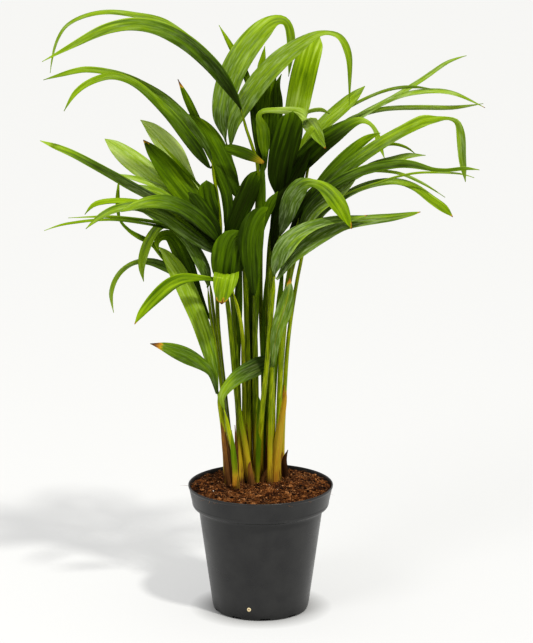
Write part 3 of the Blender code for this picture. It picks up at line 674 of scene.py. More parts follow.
# %% Thin leaflets on the left
LEFT_LEAFLETS = {
    "behind_arch": ((10, 20), [(-12, 610, 78, 3), (-15, 630, 80, 8), (-25, 652, 84, 8), (-36, 672, 88, 6),
                               (-47, 692, 92, 0)],
                    dict(tones=(0.4, 0.6, 0.66))),
    "olive_spear": ((0, 10), [(-52, 548, 44, 3), (-62, 566, 48, 6), (-72, 582, 52, 9), (-84, 608, 55, 8),
                              (-94, 630, 58, 0)],
                    dict(tones=(0.3, 0.45, 0.45), tip=0.008)),
    "behind_dark_left": ((0, 10), [(-30, 440, 27, 3), (-38, 458, 24, 6), (-37, 478, 26, 12), (-40, 500, 28,
        13), (-48, 520, 30, 12), (-54, 534, 34, 0)],
                         dict(tones=(0.1, 0.2, 0.32, 0.36))),
    "blunt_olive": ((10, 10), [(4, 533, 26, 3), (-2, 536, 22, 7), (-13, 542, 20, 13), (-27, 547, 20, 13),
                               (-37, 550, 20, 10), (-42, 551, 20, 0)],
                    dict(tones=(0.25, 0.3, 0.38, 0.4), dry=(0.3, 0.05, 0, 0))),
    "thin_steep": ((0, 0), [(-55, 480, 34, 2), (-62, 496, 36, 2.5), (-75, 512, 37, 3), (-98, 538, 38, 3.5),
                            (-119, 561, 38, 0)],
                   dict(tones=(0.4, 0.5, 0.55), dry=(0, 0, 0.1))),
    "grey_left": ((-40, -50), [(-60, 470, 33, 3), (-78, 486, 34, 4), (-100, 500, 35, 9), (-140, 515, 36, 9),
                               (-172, 521, 36, 0)],
                  dict(tones=(0.5, 0.66, 0.7), bloom=0.7)),
    "under_pale": ((-20, -30), [(-56, 462, 26, 3), (-72, 474, 24, 5), (-95, 488, 24, 12), (-118, 500, 24,
        12), (-142, 508, 24, 0)],
                   dict(tones=(0.4, 0.5, 0.6, 0.62), bloom=0.3)),
    "dark_low": ((-20, -30), [(-41, 420, 9, 3), (-46, 430, 10, 5), (-64, 450, 8, 12), (-84, 468, 6, 12),
                              (-105, 483, 4, 0)],
                 dict(tones=(0.1, 0.15, 0.2, 0.2))),
    "arch_low": ((-40, -50), [(-60, 440, 2, 3), (-84, 462, -4, 5), (-110, 479, -8, 9), (-135, 487, -12, 9),
                              (-165, 490, -16, 9), (-190, 486, -18, 8), (-202, 473, -20, 0)],
                 dict(tones=(0.3, 0.5, 0.6, 0.66, 0.7), edge_painted_light=(0.1, -0.15))),
    "ribbon_one": ((-50, -60), [(-48, 436, 12, 2.5), (-80, 454, 10, 4), (-118, 464, 8, 6), (-150, 469, 6,
        6), (-180, 471, 4, 5), (-221, 469, 2, 0)],
                   dict(tones=(0.2, 0.4, 0.62, 0.66))),
    "ribbon_two": ((-40, -50), [(-52, 436, 18, 2.5), (-70, 446, 18, 3), (-95, 455, 18, 4), (-165, 467, 18,
        4), (-220, 463, 18, 4), (-249, 454, 16, 0)],
                   dict(tones=(0.15, 0.2, 0.3, 0.5, 0.6, 0.66))),
    "curl_left": ((0, 10), [(-74, 432, 16, 3), (-98, 456, 18, 5), (-112, 461, 20, 9), (-122, 453, 22, 10),
                            (-131, 437, 24, 11), (-136, 420, 26, 10), (-137, 407, 26, 6),
                            (-135, 394, 26, 0)],
                  dict(tones=(0.5, 0.55, 0.6, 0.66, 0.66), bloom=0.3)),
    "long_thread": ((-10, 0), [(-85, 382, 32, 2), (-97, 402, 32, 3), (-115, 425, 32, 4), (-125, 439, 32, 6),
                               (-140, 447, 32, 6), (-152, 455, 32, 4), (-162, 468, 32, 3),
                               (-164, 490, 32, 5), (-162, 518, 32, 0)],
                    dict(tones=(0.6, 0.62, 0.55, 0.5, 0.55, 0.6))),
}

for title, (turn, stations, look) in LEFT_LEAFLETS.items():
    grow_blade("thin_leaflet_" + title, drawn_line(stations, turn), **look)
print("thin leaflets on the left:", len(LEFT_LEAFLETS))

# %% Thin leaflets in the middle and on the right
RIGHT_LEAFLETS = {
    "middle_back": ((0, 10), [(-22, 144, 26, 3), (-26, 225, 28, 5), (-28, 300, 30, 9), (-26, 370, 30, 10),
                              (-22, 435, 30, 0)],
                    dict(tones=(0.2, 0.24, 0.3))),
    "middle_wide": ((10, -10), [(-10, 144, 32, 4), (-14, 200, 36, 6), (-13, 290, 36, 11), (-11, 370, 36,
        12), (-5, 450, 36, 8), (0, 490, 36, 0)],
                    dict(tones=(0.16, 0.22, 0.34, 0.5))),
    "middle_right": ((0, 0), [(2, 144, 30, 3), (4, 215, 32, 5), (5, 300, 32, 9), (8, 380, 32, 9),
                              (13, 440, 32, 0)],
                     dict(tones=(0.3, 0.42, 0.48))),
    "middle_tall": ((0, 8), [(-5, 330, 26, 3), (-3, 400, 26, 6), (-1, 450, 28, 10), (1, 500, 30, 10),
                             (3, 545, 32, 0)],
                    dict(tones=(0.5, 0.52, 0.4, 0.3))),
    "right_back_strip": ((0, 0), [(12, 144, 32, 3), (14, 225, 36, 5), (17, 300, 36, 7), (22, 370, 36, 7),
                                  (27, 425, 36, 0)],
                         dict(tones=(0.5, 0.55, 0.5))),
    "centre_small": ((0, 0), [(0, 440, 20, 3), (2, 455, 20, 5), (5, 470, 19, 10), (12, 487, 18, 11),
                              (20, 500, 17, 0)],
                     dict(tones=(0.3, 0.4, 0.42))),
    "pleated_right": ((0, 5), [(10, 520, 48, 3), (14, 540, 48, 6), (16, 560, 48, 14), (19, 600, 52, 13),
                               (19, 622, 54, 7), (24, 636, 55, 0)],
                      dict(tones=(0.2, 0.3, 0.34, 0.4), depth=0.06)),
    "pleated_left": ((0, 5), [(1, 525, 47, 4), (0, 545, 47, 10), (-4, 570, 48, 11), (-8, 594, 49, 8),
                              (-12, 612, 50, 0)],
                     dict(tones=(0.16, 0.24, 0.3), depth=0.05)),
    "between_arches": ((0, 0), [(-2, 610, 68, 4), (0, 640, 70, 8), (3, 655, 72, 6), (5, 668, 72, 0)],
                       dict(tones=(0.4, 0.6, 0.66))),
    "pale_ribbon": ((-50, -50), [(44, 586, 28, 3), (50, 590, 30, 5), (60, 593.5, 32, 7), (70, 594, 34, 7),
                                 (79, 590, 36, 0)],
                    dict(tones=(0.7, 0.76, 0.7), bloom=0.5)),
    "folded_tip": ((0, 0), [(60, 575, 22, 6), (54, 567, 22, 6), (49, 559, 22, 5), (41, 547, 22, 3.5),
                            (33, 537, 22, 0)],
                   dict(tones=(0.75, 0.66, 0.6, 0.55), bloom=0.2)),
    "fine_upper": ((-30, -30), [(66, 565, 66, 2), (85, 585, 66, 3), (105, 600, 68, 4), (140, 616, 70, 4),
                                (170, 621, 70, 4), (200, 618, 70, 0)],
                   dict(tones=(0.5, 0.6, 0.62), bloom=0.5)),
    "fine_lower": ((-40, -40), [(84, 571, 66, 3), (105, 585, 66, 6), (140, 595, 70, 7), (180, 597, 72, 7),
                                (220, 597, 74, 6), (254, 602, 76, 0)],
                   dict(tones=(0.5, 0.62, 0.66), bloom=0.6)),
    "wide_behind": ((20, 20), [(46, 470, 12, 3), (54, 482, 14, 5), (66, 505, 16, 12), (80, 523, 18, 15),
                               (95, 539, 20, 15), (111, 554, 22, 12), (124, 563, 24, 8), (137, 568, 25, 0)],
                    dict(tones=(0.1, 0.2, 0.3, 0.4, 0.5, 0.5), edge_painted_light=(0.15, 0))),
    "fine_twig": ((-30, -30), [(108, 542, 22, 2), (125, 550, 22, 3.5), (150, 555, 22, 4), (167, 551, 22, 3),
                               (178, 543, 22, 0)],
                  dict(tones=(0.5, 0.6, 0.62))),
    "grey_behind": ((20, 30), [(48, 464, 8, 3), (60, 480, 8, 6), (78, 500, 8, 9), (95, 511, 8, 10), (112,
        521, 8, 10), (130, 531, 8, 10), (150, 537, 8, 9), (170, 542, 8, 7), (189, 542, 8, 0)],
                    dict(tones=(0.3, 0.45, 0.5, 0.55, 0.6), bloom=0.6)),
    "grey_arch": ((35, 35), [(46, 430, 31, 2), (53, 444, 30, 4), (62, 462, 28, 7), (75, 479, 25, 8),
                             (92, 492, 23, 9), (112, 504, 20, 10), (135, 511, 18, 10), (158, 512, 16, 9),
                             (178, 505, 14, 10), (197, 491, 12, 12), (212, 480, 10, 11), (221, 470, 8, 0)],
                  dict(tones=(0.4, 0.5, 0.5, 0.5, 0.55, 0.62, 0.66, 0.62),
                       bloom=(0.6, 0.7, 0.7, 0.5, 0.1, 0), tip=0.003)),
    "fine_arch": ((0, 0), [(95, 512, 16, 2), (118, 523, 16, 3), (155, 522, 16, 3.5), (185, 510, 16, 3),
                           (212, 493, 16, 0)],
                  dict(tones=(0.6, 0.7, 0.7), bloom=0.5)),
    "hair_right": ((0, 0), [(82, 488, 2, 1.5), (105, 500, 2, 2.5), (140, 512, 2, 2.5), (160, 518, 2, 2.5),
                            (185, 522, 2, 2.5), (225, 521, 2, 2), (245, 516, 2, 0)],
                   dict(tones=(0.6, 0.66, 0.7), bloom=0.3)),
    "striped": ((10, 14), [(40, 438, 4, 3), (46, 452, 2, 9), (55, 470, 0, 15), (66, 483, -2, 16),
                           (80, 493, -4, 15), (95, 503, -6, 11), (112, 518, -8, 0)],
                dict(tones=(0.5, 0.55, 0.62), bloom=0.8, pleats=9, depth=0.06, edge_painted_light=(0.0, 0.3))),
    # dark_between and deep_centre are nearly black: painted shade of the dense middle, on thin leaflets set
    # there.
    "dark_between": ((16, 20), [(30, 440, 10, 3), (40, 462, 12, 10), (52, 484, 14, 18), (64, 500, 16, 16),
                                (80, 514, 18, 8), (92, 522, 20, 0)],
                     dict(tones=(0.06, 0.08, 0.1, 0.12), bloom=0)),
    "deep_centre": ((0, 0), [(14, 430, 26, 4), (18, 460, 26, 14), (26, 490, 26, 20), (40, 515, 28, 18),
                             (52, 540, 30, 8), (58, 552, 31, 0)],
                    dict(tones=(0.03, 0.04, 0.06, 0.1), bloom=0)),
}

for title, (turn, stations, look) in RIGHT_LEAFLETS.items():
    grow_blade("thin_leaflet_" + title, drawn_line(stations, turn), **look)
print("thin leaflets on the right:", len(RIGHT_LEAFLETS))

# %% [markdown]
# ## Stalks
# A palm's stalk is a smooth, slightly ridged rod, green to olive, that turns yellow and then red
# brown where it leaves the soil. Each one is a tube of rings along its line. Its finish reads the
# height over the floor, so every foot browns at the soil, wherever the stalk leans.

# %% Stalk finish
STALK_GREENS = (
    (0.00, (0.008, 0.014, 0.000)),
    (0.30, (0.050, 0.085, 0.000)),
    (0.55, (0.190, 0.255, 0.002)),
    (0.80, (0.440, 0.470, 0.015)),
    (1.00, (0.640, 0.600, 0.080)),
)
STALK_FOOT = (0.075, 0.026, 0.014)
STALK_HEEL = (0.50, 0.34, 0.02)


def stalk_material():
    stalk = Recipe("stalk_skin")
    grain = stalk.attribute("grain", "Vector")
    height = stalk.attribute("height")
    tone = stalk.attribute("tone")
    streaks = stalk.noise(grain, 1.0, 3.0)
    shade = stalk.math("ADD", tone, stalk.remap(streaks, 0.3, 0.7, -0.24, 0.24))
    green = stalk.ramp(shade, STALK_GREENS)
    ragged = stalk.math("ADD", height, stalk.remap(streaks, 0.3, 0.7, -20, 20))
    foot = stalk.blend(STALK_FOOT, STALK_HEEL, stalk.remap(ragged, 148, 178))
    color = stalk.blend(foot, green, stalk.remap(ragged, 165, 225))
    normal = stalk.bump(streaks, 0.0004, 0.4)
    return stalk.finish(
        Base_Color=color, Roughness=0.32, Specular_IOR_Level=0.22,
        Specular_Tint=(1.0, 1.0, 0.35), Normal=normal,
    )


stalk_skin = stalk_material()


# %% Grow one stalk
SOIL_TOP = 0.148


def grow_stalk(name, line, tones=(0.35,), stands_for=(), sides=16):
    centres, radii = line
    at = even_steps(centres, 0.006)
    middle, radius = smooth_rows(centres, at), smooth_rows(radii, at)
    ahead = unit(np.gradient(middle, axis=0))
    out = unit(np.cross(ahead, np.array([0.0, 1.0, 0.0])))
    front = np.cross(out, ahead)
    turn = np.linspace(0, 2 * np.pi, sides, endpoint=False)[None, :]
    seed = (sum(map(ord, name)) % 89) / 9
    swell = np.clip(1 + 0.25 * np.exp(-(middle[:, 2] - SOIL_TOP) / 0.012), 1, 1.3)
    ridges = 1 + 0.06 * np.cos(2 * turn + seed) + 0.04 * np.cos(5 * turn + 2 * seed)
    along = length_along(middle)
    top = np.clip((along[-1] - along) / 0.014, 0.35, 1)
    reach = (radius * swell * top)[:, None] * ridges
    around = out[:, None] * np.cos(turn)[..., None] + front[:, None] * np.sin(turn)[..., None]
    points = middle[:, None] + around * reach[..., None]
    rows = len(points)
    share = along / along[-1]
    height = np.repeat(middle[:, 2] * 1000, sides)
    tone = np.repeat(spread(tones, share), sides)
    ring = 4 * np.stack([np.cos(turn[0]), np.sin(turn[0])], -1)
    grain = np.column_stack([np.tile(ring, (rows, 1)), height / 16 + seed])
    faces = grid_faces(rows, sides, closed=True)
    faces += [tuple(range(sides))[::-1], tuple(range((rows - 1) * sides, rows * sides))]
    return add_piece(
        name, points, faces, [stalk_skin], "stalk", stands_for, height=height, tone=tone, grain=grain
    )


# %% Stalks of the CAD model
STALK_TONES = {
    "centre": (0.4, 0.35, 0.3, 0.25),
    "centre_back": (0.3, 0.42, 0.46, 0.3, 0.2),
    "centre_left": (0.55, 0.5, 0.42, 0.3),
    "front_curl": (0.45, 0.42, 0.36, 0.3),
    "front_fold": (0.6, 0.6, 0.62, 0.6),
    "front_low": (0.6, 0.62, 0.6),
    "left": (0.34, 0.3, 0.26, 0.24, 0.2),
    "left_back": (0.36, 0.42, 0.42, 0.46, 0.5, 0.45),
    "left_front": (0.5, 0.42, 0.38, 0.3),
    "left_thin": (0.36, 0.4, 0.42, 0.4),
    "low_left": (0.56, 0.6, 0.6),
    "right": (0.62, 0.58, 0.46, 0.3),
    "right_back": (0.62, 0.6, 0.5, 0.5, 0.55),
    "right_fold": (0.62, 0.6, 0.5, 0.3),
    "right_front": (0.6, 0.6, 0.54, 0.46),
    "spear": (0.55, 0.56, 0.52),
    "tall": (0.36, 0.5, 0.5, 0.46, 0.4, 0.4),
    "top_left": (0.3, 0.4, 0.46, 0.45, 0.4, 0.45),
}
stalk_nodes = sorted(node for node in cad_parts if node.startswith("stalk_"))
for node in stalk_nodes:
    title = node.replace("stalk_", "")
    grow_stalk("petiole_" + title, stalk_line(node), STALK_TONES[title], stands_for=(node,))
print("stalks:", len(stalk_nodes))

# %% Thin stalks between them
THIN_STALKS = {
    "left": ((0.36, 0.4, 0.4), 3.0, 1.7,
             [(-34, 122, 30), (-34, 150, 30), (-35, 170, 30), (-39, 215, 28), (-44, 265, 26),
              (-49, 310, 25), (-53, 345, 24), (-56, 372, 22), (-59, 395, 20)]),
    "centre": ((0.3, 0.26, 0.2, 0.3), 3.4, 2.2,
               [(14, 122, 46), (15, 160, 46), (14, 230, 46), (12, 330, 46), (13, 430, 46), (17, 462, 44),
                (21, 490, 42), (26, 505, 40)]),
    "right": ((0.5, 0.5, 0.46, 0.4), 2.8, 1.8,
              [(19, 122, 30), (20, 150, 30), (21, 200, 30), (22, 250, 30), (25, 300, 29), (28, 340, 28),
               (31, 370, 27), (35, 400, 26), (41, 425, 25), (45, 445, 24)]),
}
for title, (tones, foot, top, stations) in THIN_STALKS.items():
    path = np.array([from_board(*row) for row in stations])
    grow_stalk("thin_petiole_" + title, (path, np.linspace(foot, top, len(path)) / 1000), tones)
print("thin stalks:", len(THIN_STALKS))

# %% [markdown]
# ## Dead sheaths and husks
# Each stalk starts inside a sheath, which dries to straw and brown paper and clings to the foot.
# A husk is grown as a blade is: its edges droop strongly, so that it wraps round the stalk, and
# its dryness is high all along.

# %% Husks
HUSKS = {
    "yellow_strip": ([(16, 142, 8, 7), (17, 165, 7, 8), (20, 195, 7, 8), (24, 228, 8, 6.5), (28, 252, 9, 4),
                      (30, 264, 9, 0)],
                     dict(dry=(0.5, 0.27, 0.24, 0.25, 0.32), tones=(0.85,), breadth=1.25)),
    "orange_strip": ([(20, 190, 16, 5), (22, 215, 16, 6), (25, 245, 16, 5), (28, 270, 16, 0)],
                     dict(dry=(0.3, 0.36, 0.4, 0.4), tones=(0.7,))),
    "dark_fill_one": ([(-20, 140, 22, 12), (-19, 165, 24, 10), (-17, 195, 26, 6), (-16, 225, 26, 0)],
                      dict(dry=(1.0, 0.95, 0.9, 0.8))),
    "dark_fill_two": ([(-3, 140, 30, 12), (-3, 170, 30, 10), (-2, 205, 30, 6), (-1, 240, 30, 0)],
                      dict(dry=(1.0, 0.95, 0.85, 0.7))),
    "dark_fill_three": ([(9, 140, 20, 12), (9, 170, 20, 10), (10, 205, 20, 6), (10, 235, 20, 0)],
                        dict(dry=(1.0, 0.95, 0.85, 0.8))),
    "dark_fill_four": ([(-33, 140, 18, 9), (-34, 160, 18, 8), (-35, 185, 18, 5), (-36, 205, 18, 0)],
                       dict(dry=(1.0, 0.9, 0.8, 0.8))),
    "ribbon_stub": ([(-4, 148, 8, 4), (-3, 180, 6, 5.5), (-2, 215, 4, 6), (-1, 245, 2, 5), (-3, 257, 1, 0)],
                    dict(dry=(0.2, 0.02, 0.0, 0.0), tones=(0.45, 0.55, 0.5))),
    "left_sheath": ([(-37, 146, 6, 6), (-39, 162, 5, 6), (-42, 190, 3, 5), (-44, 212, 2, 4),
                     (-46, 225, 1, 0)],
                    dict(dry=(0.9, 0.75, 0.66, 0.62, 0.8))),
    "left_sheath_back": ([(-34, 144, 10, 7), (-36, 165, 9, 6), (-39, 190, 8, 5), (-41, 214, 7, 0)],
                         dict(dry=(1.0, 0.95, 0.85, 0.8))),
    "dark_sheath": ([(-25, 144, 3, 6), (-26, 165, 5, 5), (-28, 190, 7, 4), (-30, 222, 7, 0)],
                    dict(dry=(1.0, 0.95, 0.85, 0.8))),
    "green_stub": ([(-31, 146, -26, 4), (-30, 165, -26, 6), (-32, 190, -26, 6), (-34, 216, -25, 0)],
                   dict(tones=(0.5, 0.5, 0.6), dry=(0.5, 0.1, 0, 0.1))),
    "tan_sheath": ([(-10, 144, -1, 6), (-11, 153, -2, 7), (-12, 163, -3, 6), (-13, 172, -3, 4),
                    (-12, 178, -3, 0)],
                   dict(dry=(0.85, 0.7, 0.6, 0.66), ripple=0.04, bloom=0.2)),
    "papery_one": ([(2, 144, 12, 7), (4, 155, 11, 9), (8, 165, 10, 6), (12, 174, 10, 0)],
                   dict(dry=(0.9, 0.75, 0.7, 0.8), ripple=0.06)),
    "papery_two": ([(14, 144, 8, 6), (11, 156, 7, 8), (10, 166, 7, 5), (9, 178, 7, 0)],
                   dict(dry=(0.95, 0.8, 0.85, 0.9), ripple=0.06)),
    "right_husk": ([(22, 146, 34, 10), (22, 160, 33, 11), (23, 174, 32, 8), (26, 190, 32, 0)],
                   dict(dry=(0.9, 0.6, 0.5, 0.6), ripple=0.03)),
    "curled_husk": ([(30, 146, 30, 5), (29, 165, 30, 6), (28, 180, 29, 5), (32, 192, 28, 0)],
                    dict(dry=(1.0, 1.0, 0.95, 1.0), ripple=0.06)),
    "back_husk": ([(-4, 144, 52, 9), (-4, 160, 54, 10), (-6, 178, 55, 6), (-8, 196, 56, 0)],
                  dict(dry=(0.95, 0.8, 0.6, 0.7), ripple=0.03)),
}
for title, (stations, look) in HUSKS.items():
    grow_blade("husk_" + title, drawn_line(stations, (0, 0)), droop=0.34, depth=0.03, slot="stalk", **look)
print("husks:", len(HUSKS))

# %% [markdown]
# ## The pot
# A nursery pot is blown or moulded from thin dark plastic: a tapered wall, a deep collar that is a
# little wider, a lip to lift it by, and a foot ring with notches that let the water run out. All of
# it is round, so one outline turned round the axis makes it. Corners of moulded plastic are never
# sharp, so each corner of the outline is swapped for a small arc first, which also catches the
# light as thin bright lines. The holes and the notches are then cut with a Boolean.


# %% Outline helpers
def rounded(profile, radius, steps=4):
    """The outline with each inner corner swapped for an arc about this radius."""
    made = [np.array(profile[0], float)]
    for before, corner, after in zip(profile, profile[1:], profile[2:]):
        before, corner, after = (np.array(point, float) for point in (before, corner, after))
        reach = [min(radius, 0.45 * np.linalg.norm(end - corner)) for end in (before, after)]
        start = corner + unit(before - corner) * reach[0]
        end = corner + unit(after - corner) * reach[1]
        for share in np.linspace(0, 1, steps):
            made.append((1 - share) ** 2 * start + 2 * share * (1 - share) * corner + share**2 * end)
    return np.array(made + [np.array(profile[-1], float)])


def lathe(profile, segments):
    """Points (rows, segments, 3) in metres of an outline in millimetres turned round the axis."""
    turn = np.linspace(0, 2 * np.pi, segments, endpoint=False)
    radius, height = profile[:, :1] / 1000, profile[:, 1:] / 1000
    return np.stack(
        [radius * np.cos(turn), radius * np.sin(turn), np.repeat(height, segments, 1)], -1
    )


def weld(mesh, distance=1e-6):
    shape = bmesh.new()
    shape.from_mesh(mesh)
    bmesh.ops.remove_doubles(shape, verts=shape.verts, dist=distance)
    bmesh.ops.recalc_face_normals(shape, faces=shape.faces)
    shape.to_mesh(mesh)
    shape.free()


# %% Pot plastic
def pot_material():
    pot = Recipe("pot_plastic")
    place = pot.position()
    clouds = pot.noise(place, 45.0, 4.0)
    scuffs = pot.noise(pot.stretch(place, (60.0, 60.0, 700.0)), 1.0, 4.0, 0.7)
    dust = pot.noise(place, 900.0, 3.0, 0.7)
    color = pot.blend((0.0125, 0.0125, 0.0128), (0.021, 0.021, 0.0205), pot.remap(clouds, 0.35, 0.65))
    color = pot.blend(color, (0.05, 0.045, 0.04), pot.remap(dust, 0.62, 0.8, 0.0, 0.5))
    rough = pot.math("ADD", pot.remap(clouds, 0.3, 0.7, 0.27, 0.38),
                     pot.remap(scuffs, 0.3, 0.7, -0.04, 0.05))
    normal = pot.bump(pot.math("ADD", scuffs, dust), 0.00012, 0.35)
    return pot.finish(Base_Color=color, Roughness=rough, Normal=normal)


pot_plastic = pot_material()

# %% Pot shell
POT_OUTLINE = [
    (0, 1.8), (18.4, 1.8), (20.4, 5.2), (54.2, 5.2), (55.2, 7), (70.8, 120), (71.6, 125.6),
    (77.6, 127.2), (83.0, 149.8), (83.6, 151), (84.5, 151), (85.0, 150.4), (84.8, 148.4),
    (84.1, 147.8), (80.3, 129.8), (80.5, 129.2), (80.0, 127.4), (79.1, 125.4), (77.2, 124.2),
    (73.9, 123.3), (72.8, 121), (72.4, 119.2), (57.0, 7), (55.8, 1.8), (54.2, 0), (52, 0),
    (51.6, 3.6), (19.8, 3.6), (19, 0), (0, 0),
]
DRAIN_HOLES, DRAIN_CIRCLE, DRAIN_RADIUS = 8, 0.036, 0.005
NOTCHES, NOTCH_AT, NOTCH_SIZE = 10, 0.0539, (0.014, 0.011, 0.0056)
FIRST_NOTCH = math.radians(5.5 - 90)


def drain_cutter():
    shape = bmesh.new()
    for turn in np.arange(DRAIN_HOLES) * 2 * math.pi / DRAIN_HOLES:
        hole = bmesh.ops.create_cone(
            shape, cap_ends=True, segments=32, radius1=DRAIN_RADIUS, radius2=DRAIN_RADIUS, depth=0.012
        )
        centre = (DRAIN_CIRCLE * math.cos(turn), DRAIN_CIRCLE * math.sin(turn), 0.005)
        bmesh.ops.translate(shape, vec=centre, verts=hole["verts"])
    for turn in np.arange(NOTCHES) * 2 * math.pi / NOTCHES + FIRST_NOTCH:
        notch = bmesh.ops.create_cube(shape, size=1.0)["verts"]
        bmesh.ops.scale(shape, vec=NOTCH_SIZE, verts=notch)
        bmesh.ops.translate(shape, vec=(NOTCH_AT, 0, 0), verts=notch)
        bmesh.ops.rotate(shape, cent=(0, 0, 0), matrix=Matrix.Rotation(turn, 3, "Z"), verts=notch)
    mesh = bpy.data.meshes.new("drain_cutter")
    shape.to_mesh(mesh)
    shape.free()
    cutter = bpy.data.objects.new("drain_cutter", mesh)
    scene.collection.objects.link(cutter)
    return cutter


def apply_cut(piece, cutter):
    boolean = piece.modifiers.new("cut", "BOOLEAN")
    boolean.operation, boolean.solver, boolean.object = "DIFFERENCE", "EXACT", cutter
    shown = piece.evaluated_get(bpy.context.evaluated_depsgraph_get())
    piece.data = bpy.data.meshes.new_from_object(shown)
    piece.modifiers.clear()
    bpy.data.objects.remove(cutter)
    piece.data.polygons.foreach_set("use_smooth", [True] * len(piece.data.polygons))
    piece.data.set_sharp_from_angle(angle=math.radians(32))


shell_points = lathe(rounded(POT_OUTLINE, 0.9), 144)
pot_shell = add_piece(
    "pot_shell", shell_points, grid_faces(*shell_points.shape[:2], closed=True), [pot_plastic],
    "pot", ("pot",),
)
weld(pot_shell.data)
apply_cut(pot_shell, drain_cutter())
print("pot faces:", len(pot_shell.data.polygons))

# %% A cream plug low on the wall
PLUG_OUTLINE = np.array([(0, 0.35), (0.8, 0.35), (0.95, 0.75), (1.9, 0.7), (2.45, 0.35), (2.5, -0.6),
                         (0, -0.6)])
PLUG_AT, PLUG_HEIGHT = -0.0135, 0.0145
WALL_RADIUS_THERE = 0.0581


def plug_material():
    plug = Recipe("plug_cream")
    spread_out = plug.attribute("reach")
    mottle = plug.noise(plug.position(), 1800.0, 3.0)
    cream = plug.blend((0.62, 0.50, 0.27), (0.74, 0.64, 0.42), mottle)
    color = plug.blend((0.30, 0.15, 0.07), cream, plug.remap(spread_out, 0.6, 1.1))
    return plug.finish(Base_Color=color, Roughness=0.5)


plug_points = lathe(PLUG_OUTLINE, 24)
plug_faces = grid_faces(*plug_points.shape[:2], closed=True)
plug = add_piece(
    "pot_plug", plug_points, plug_faces, [plug_material()], "pot",
    reach=np.repeat(PLUG_OUTLINE[:, 0], 24),
)
weld(plug.data)
facing = Vector((PLUG_AT, -math.sqrt(WALL_RADIUS_THERE**2 - PLUG_AT**2), 0.0))
plug.data.transform(facing.to_track_quat("Z", "Y").to_matrix().to_4x4())
plug.data.transform(Matrix.Translation(facing + Vector((0, 0, PLUG_HEIGHT))))
print("plug at:", [round(value, 4) for value in facing])

# %% [markdown]
# ## The soil
# The mix is coir: crumbs and lumps of coconut husk, rust brown where they stand proud and dark in
# the hollows, with hair-like fibres, chips of husk and a few white grains of perlite on top. The
# bed is turned like the pot, and noise at three sizes lifts its top. The same noise is kept on the
# points, so that the material can paint the hollows nearly black: painted shade, over the coir's
# own dark brown.

# %% Soil finish
# The near-black low end is painted shade for the hollows; the rest is the coir's own brown.
SOIL_TONES_AND_HOLLOW_SHADE = (
    (0.00, (0.002, 0.001, 0.000)),
    (0.36, (0.014, 0.004, 0.001)),
    (0.56, (0.070, 0.022, 0.004)),
    (0.74, (0.210, 0.078, 0.018)),
    (1.00, (0.520, 0.270, 0.120)),
)


def soil_material():
    soil = Recipe("coir_mix")
    lift = soil.attribute("lift")
    place = soil.position()
    crumbs = soil.noise(place, 420.0, 4.0, 0.7)
    strands = soil.noise(soil.stretch(place, (900.0, 260.0, 500.0)), 1.0, 3.0, 0.65)
    # low lift paints the bed's hollows nearly black: painted shade
    shade = soil.math("ADD", lift, soil.remap(crumbs, 0.3, 0.7, -0.24, 0.24))
    shade = soil.math("ADD", shade, soil.remap(strands, 0.35, 0.7, -0.1, 0.16))
    normal = soil.bump(soil.math("ADD", crumbs, strands), 0.0012, 0.9)
    return soil.finish(
        Base_Color=soil.ramp(shade, SOIL_TONES_AND_HOLLOW_SHADE), Roughness=0.95, Specular_IOR_Level=0.15, Normal=normal
    )


coir_mix = soil_material()


# %% Soil bed
BED_RADIUS = 0.0815
BED_SKIRT = (            # (radius, height) from the bed's edge down and in to the pot's floor
    (0.0765, 0.129), (0.0702, 0.121), (0.0538, 0.0085), (0.053, 0.0063), (0.0, 0.0063),
)


def soil_lift(x, y):
    """How high the crumbs stand at each place, from about -1 to 1."""
    lumps = rough_noise(x / 0.016, y / 0.016, 3.1)
    clods = rough_noise(x / 0.006, y / 0.006, 7.7)
    crumbs = rough_noise(x / 0.0024, y / 0.0024, 1.3)
    return 0.55 * lumps + 0.5 * clods + 0.4 * crumbs


def soil_height(x, y):
    away = np.hypot(x, y) / 0.0815
    return 0.1492 - 0.0022 * away**3 + 0.0044 * soil_lift(x, y) * np.clip((1 - away) * 14, 0.25, 1)


def soil_bed(rings=64, segments=200):
    """(points, lift): rings over the uneven top, then the skirt that goes down inside the pot. The lift
    follows the top's height, so that low places take painted shade in the finish.
    """
    skirt = np.array(BED_SKIRT)
    reach = np.append(np.linspace(0, 1, rings) * BED_RADIUS, skirt[:, 0])
    turn = np.linspace(0, 2 * np.pi, segments, endpoint=False)
    x, y = reach[:, None] * np.cos(turn), reach[:, None] * np.sin(turn)
    z = soil_height(x, y)
    z[rings:] = skirt[:, 1:]
    lift = 0.5 + 0.42 * soil_lift(x, y)
    return np.stack([x, y, z], -1), lift


bed_points, bed_lift_and_hollow_shade = soil_bed()
bed = add_piece(
    "soil_bed", bed_points, grid_faces(*bed_points.shape[:2], closed=True), [coir_mix], "soil",
    ("soil",), lift=bed_lift_and_hollow_shade.ravel(),
)
weld(bed.data)
print("soil points:", len(bed.data.vertices))


# %% Places on the soil
def soil_spot(dice, most=0.079, least=0.0):
    """A random place on the bed, clear of the rim."""
    reach = math.sqrt(dice.uniform((least / most) ** 2, 1)) * most
    turn = dice.uniform(0, 2 * math.pi)
    x, y = reach * math.cos(turn), reach * math.sin(turn)
    return np.array([x, y, float(soil_height(np.array(x), np.array(y)))])


